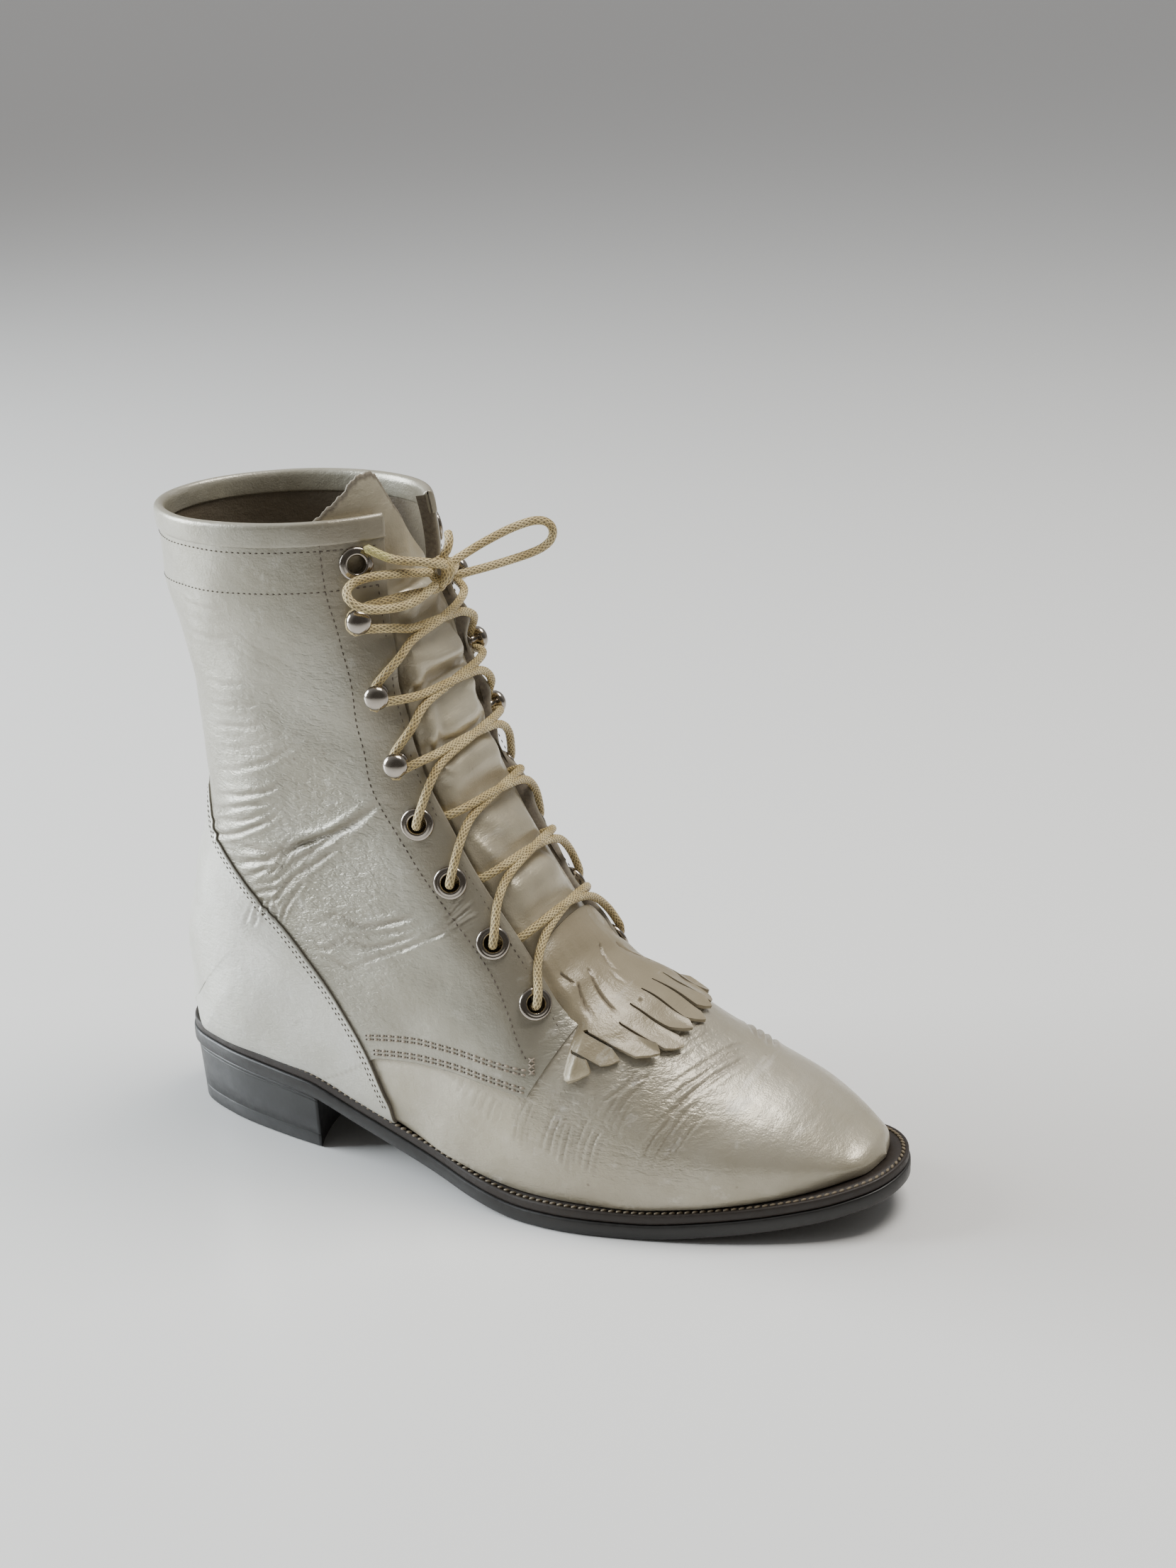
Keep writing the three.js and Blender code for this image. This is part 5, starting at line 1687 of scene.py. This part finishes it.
# One strand's route from the lowest eyelet to under the knot, changing sides at each crossing
def laceRun(first):
    points = []
    side = first
    for i in range(lastHook):
        edge = onFacing(side, i, 0.3, gapShare, overFacing)
        if lacingRows[i]["kind"] == "eyelet":
            points += outOfEyelet(side, i, edge)
        elif i > 0:
            points += roundHook(side, i, edge)
        points += [
            edge,
            onFacing(side, i, 0.42, 0.62 * gapShare, overTongue + 0.4),
            onFacing(side, i, 0.5, 0, overTongue + 0.3 * first),
            onFacing(side, i, 0.6, -0.62 * gapShare, overTongue + 0.4),
        ]
        side = -side
        if lacingRows[i + 1]["kind"] == "hook":
            points.append(onFacing(side, i, 0.72, gapShare, overFacing))
        else:
            points += [
                onFacing(side, i, 0.68, underFacing * gapShare, overTongue - 1.2),
                onFacing(side, i, 0.8, gapShare + behindFacing, -wall - laceRadius - 0.5),
            ]
            middle, axis, _ = lacePlace(side, i + 1, edge)
            points.append(middle - axis * 5.2)
    top = pointOff(lacing[lastHook][0] + 0.3, side * gapShare, overFacing)
    points += roundHook(side, lastHook, top)
    points += [top, underKnot]
    return points


knotPlace = pointOff(collarSection - 1.1, 0.0, 5.2)
underKnot = knotPlace + np.array([-1, 0, -6.1])


def buildCrossings():
    meshes = [laceTube("lace", laceCurve(laceRun(side))) for side in (-1, 1)]
    nodes = tuple(f"lace_crossing_{k + 1}" for k in range(crossings))
    shown("lace_runs", joined("lace_runs", meshes), waxedLace, nodes)


# Bow: points from the knot's middle ahead, to the inner side and up, on the part's own routes, with more
# points round the loops' ends
bow = (
    {
        "node": "lace_loop_out",
        "end": "knot",
        "points": (
            (0, -4.9, 1), (-6, -20, 4), (-11.5, -28, 4.4), (-14.6, -32, 3.4), (-15.2, -35.6, 1.5),
            (-12.9, -37.1, -1.2), (-9.5, -35.6, -3.6), (-6.4, -32, -4.8), (0, -20, -5.5), (1.5, -5.4, -2.5),
        ),
    },
    {
        "node": "lace_loop_in",
        "end": "knot",
        "points": (
            (0, 4.9, 1), (7, 18, 6), (14.5, 27, 9.8), (19.8, 32.6, 11.0), (22.4, 35.7, 9.8),
            (23.5, 37.4, 6.7), (22.9, 36.9, 3.2), (20.4, 34.0, 0.8), (12, 20, -1.4), (2.5, 5, -2.6),
        ),
    },
    {
        "node": "lace_end_out",
        "end": "bare",
        "points": ((4.4, -3, 3.2), (2, -12, 6.5), (-6, -20, 9), (-13, -26, 14)),
        "waxedTip": 10,
    },
    {
        "node": "lace_end_in",
        "end": "bare",
        "points": (
            (0.6, -1.6, 3.1), (-2.4, -1.2, 1.7), (-2.7, -0.7, -1.7), (0.4, -0.2, -3.1), (3.0, 0.3, -1.2),
            (2.4, 0.6, 2.0), (0.8, 0.8, 4.6), (1.6, 2.2, 7), (1, 5, 9.6), (-1.5, 8.5, 11.5),
        ),
    },
)
knotTurns = 1.75
knotReach = 3.05
knotPitch = 3.2
knotPoints = 26
loopSmoothings = 6


def knotLine():
    angle = np.linspace(-0.5 * math.pi, (2 * knotTurns - 0.5) * math.pi, knotPoints)
    share = np.linspace(-0.5, 0.5, knotPoints)
    return np.column_stack([
        knotPlace[0] + knotReach * np.cos(angle),
        knotPlace[1] + knotTurns * knotPitch * share,
        knotPlace[2] + knotReach * 1.25 * np.sin(angle),
    ])


def buildCord(node, line, waxedTip=0):
    name = node.replace("lace", "cord")
    mesh = laceTube(name, line, waxedTip=waxedTip)
    cord = shown(name, mesh, waxedLace, (node,))


buildCrossings()
buildCord("lace_knot", laceCurve(knotLine()))
for part in bow:
    line = laceCurve([knotPlace + np.array(point) for point in part["points"]])
    for _ in range(loopSmoothings if part["end"] == "knot" else 0):
        line[1:-1] = 0.25 * line[:-2] + 0.5 * line[1:-1] + 0.25 * line[2:]
    buildCord(part["node"], line, part.get("waxedTip", 0))
print("lace and bow made")

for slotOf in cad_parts["insole"].material_slots:
    slotOf.material = boardTan


# Stitches: small joined beads of thread along rows of places on the skin
def rowOnSkin(places, side, count=160):
    path = curveThrough(places, count)
    return path[:, 0], side * np.abs(path[:, 1])


# The same row moved up the skin by an inset in millimetres, or down it by a negative one
def rowBeside(places, inset, side):
    t, v = rowOnSkin(places, side)
    base = skin(t, v)
    along = np.gradient(base, axis=0)
    normal = outward(t, v)
    away = np.cross(along, normal)
    away *= np.sign(away[:, 2].mean()) / np.linalg.norm(away, axis=1, keepdims=True)
    step = 0.01
    byT = (skin(t + step, v) - skin(t - step, v)) / (2 * step)
    byV = (skin(t, v + step / 2) - skin(t, v - step / 2)) / step
    moved = []
    for k in range(len(t)):
        columns = np.column_stack([byT[k], byV[k]])
        shift = np.linalg.lstsq(columns, away[k] * inset, rcond=None)[0]
        moved.append((t[k] + shift[0], v[k] + shift[1]))
    moved = np.array(moved)
    return moved[:, 0], moved[:, 1]


# A row of stitches on the creased leather: a pitch, each stitch's length and width, a shift along the row
# in millimetres and a slant in radians
def addStitches(bm, t, v, height, pitch, length, width, shift=0.0, slant=0.0):
    depth = relief(skin(t, v), t)[0]
    addBeads(bm, offSkin(t, v, height + depth), outward(t, v), pitch, length, width, shift, slant)


def addBeads(bm, line, normal, pitch, length, width, shift=0.0, slant=0.0):
    walk = walked(line)
    for k in range(int(walk[-1] / pitch)):
        at = (k + 0.5) * pitch + shift
        middle = np.array([np.interp(at, walk, line[:, j]) for j in range(3)])
        ahead = np.array([np.interp(at + 0.3, walk, line[:, j]) for j in range(3)])
        up = np.array([np.interp(at, walk, normal[:, j]) for j in range(3)])
        up /= np.linalg.norm(up)
        along = ahead - middle
        along = along - up * (along @ up)
        size = np.linalg.norm(along)
        if size < 1e-6:
            continue
        along /= size
        across = np.cross(up, along)
        along, across = (
            along * math.cos(slant) + across * math.sin(slant),
            across * math.cos(slant) - along * math.sin(slant),
        )
        bead = Matrix.Identity(4)
        columns = (along * length / 2, across * width / 2, up * width / 2, middle * millimetre)
        for j in range(3):
            bead[j] = [column[j] for column in columns]
        bmesh.ops.create_icosphere(bm, subdivisions=1, radius=millimetre, matrix=bead)


def stitched(name, bm, material):
    mesh = bpy.data.meshes.new(name)
    bm.to_mesh(mesh)
    bm.free()
    shown(name, mesh, material, weld=0)


bandLine = collarSection - 0.38
bandLow = collarSection - 1.0
facingLine = (
    (17.75, 0.43), (16.5, 0.435), (14.4, 0.455), (12.9, 0.46), (11.3, 0.45), (9.6, 0.43), (8.6, 0.41),
    (7.65, 0.4), (7.05, 0.42), (6.62, 0.445), (6.3, 0.455),
)
# Heights of the quarter's two double rows over its lapped edge, seen from the side
quarterInsets = (1.7, 3.2, 7.6, 9.1)
counterInsets = (1.6, 2.9)
tackRow = ((6.31, 0.437), (6.25, 0.456), (6.19, 0.478))
facingEdgeRow = ((6.0, 0.325), (6.5, 0.312), (7.5, 0.308), (9, 0.306), (12, 0.305), (17.3, 0.305))


def buildStitches():
    fine = bmesh.new()
    heavy = bmesh.new()
    heel = bmesh.new()
    step = quarterStep + 0.02
    for side in (-1, 1):
        back = np.linspace(0.3, 1.0, 200)
        for level in (bandLine, bandLow):
            addStitches(fine, np.full_like(back, level), side * back, step, 2.2, 1.35, 0.55)
        t, v = rowOnSkin(facingLine, side)
        addStitches(fine, t, v, step, 2.3, 1.5, 0.6)
        t, v = rowOnSkin(facingEdgeRow, side)
        addStitches(fine, t, v, step - 0.1, 2.4, 1.4, 0.45)
        for inset in quarterInsets:
            row = sideEdge([(at, up + inset / shaftRise) for at, up in quarterEdge], side)
            row = row[row[:, 1] < counterS[side][0](row[:, 0]) - 0.012]
            t, v = row[:, 0], side * row[:, 1]
            addStitches(heavy, t, v, step + 0.1, 3.0, 2.0, 1.0)
            addStitches(fine, t, v, step - 0.05, 3.0, 1.0, 0.85, 1.5)
        t, v = rowOnSkin(tackRow, side)
        for slant in (0.9, -0.9):
            addStitches(heavy, t, v, step + 0.2, 2.0, 3.2, 0.75, slant=slant)
        edge, low, high = counterS[side]
        ts = np.linspace(low + 0.12, high - 0.25, 200)
        for inset in counterInsets:
            t, v = rowBeside(np.column_stack([ts, edge(ts)]), -inset, side)
            addStitches(heel, t, v, counterStep + 0.02, 2.2, 1.3, 0.5)
    stitched("stitches_shaft", fine, threadTaupe)
    stitched("stitches_quarter", heavy, threadIvory)
    stitched("stitches_counter", heel, threadTaupe)


# Lock stitch of the welt, round the forepart to the heel's front; it comes nearer the edge at the waist
weltStitchEnd = -108


def weltInset(x):
    return 2.5 - 1.15 * soften(25, -35, x)


def buildWeltStitch():
    welt = bmesh.new()
    loop = insetLoop(outline, weltInset)
    loop = loop[loop[:, 0] > weltStitchEnd]
    far = int(np.argmax(np.linalg.norm(np.diff(loop, axis=0), axis=1))) + 1
    loop = np.roll(loop, -far, axis=0)
    height = soleTop(loop[:, 0]) - 0.08 + 0.12 * soften(25, -35, loop[:, 0])
    line = np.column_stack([loop, height])
    normal = np.tile([0.0, 0.0, 1.0], (len(line), 1))
    addBeads(welt, line, normal, 2.6, 2.5, 1.15, slant=0.5)
    stitched("stitches_welt", welt, threadCream)


buildStitches()
buildWeltStitch()
print("stitches made")


# Studio: a pale wide floor, a sky of soft grey with a darker room on one side, and two soft lights, each
# with its place, width, power and colour
floorSize = 60.0
lights = (
    ("window", (-1.85, -0.42, 0.8), 1.2, 92.0, (0.88, 0.95, 1.0)),
    ("top", (0.4, 0.35, 1.6), 0.8, 27.0, (1.0, 0.97, 0.92)),
)
roomSide = (0.62, -0.7, 0.1)


def buildStudio():
    mesh = bpy.data.meshes.new("floor")
    corners = [(x * floorSize, y * floorSize, 0) for x, y in ((-1, -1), (1, -1), (1, 1), (-1, 1))]
    mesh.from_pydata(corners, [], [(0, 1, 2, 3)])
    floor = bpy.data.objects.new("floor", mesh)
    bpy.context.collection.objects.link(floor)
    material, _, shader = newMaterial("paleFloor")
    shader.inputs["Base Color"].default_value = (0.79, 0.782, 0.766, 1)
    shader.inputs["Roughness"].default_value = 0.32
    mesh.materials.append(material)
    world = bpy.data.worlds.new("studio")
    world.use_nodes = True
    tree = world.node_tree
    towards = addNode(tree, "ShaderNodeTexCoord").outputs["Generated"]
    height = addNode(tree, "ShaderNodeSeparateXYZ", {"Vector": towards}).outputs["Z"]
    sky = blend(tree, ramp(tree, height, 0.0, 0.8), (0.7, 0.68, 0.65, 1), (1.0, 1.01, 1.03, 1))
    room = addNode(tree, "ShaderNodeVectorMath", {0: towards, 1: roomSide}, operation="DOT_PRODUCT")
    dim = blend(tree, ramp(tree, room.outputs["Value"], -0.1, 0.75, 0.0, 0.85), sky, (0.11, 0.095, 0.075, 1))
    tree.links.new(dim, tree.nodes["Background"].inputs["Color"])
    tree.nodes["Background"].inputs["Strength"].default_value = 0.5
    bpy.context.scene.world = world
    for name, place, width, power, color in lights:
        data = bpy.data.lights.new(name, "AREA")
        data.size = width
        data.energy = power
        data.color = color
        light = bpy.data.objects.new(name, data)
        aim = Vector((0, 0, 0.1)) - Vector(place)
        light.matrix_world = aim.to_track_quat("-Z", "Y").to_matrix().to_4x4()
        light.location = place
        bpy.context.collection.objects.link(light)


buildStudio()

print("studio made")
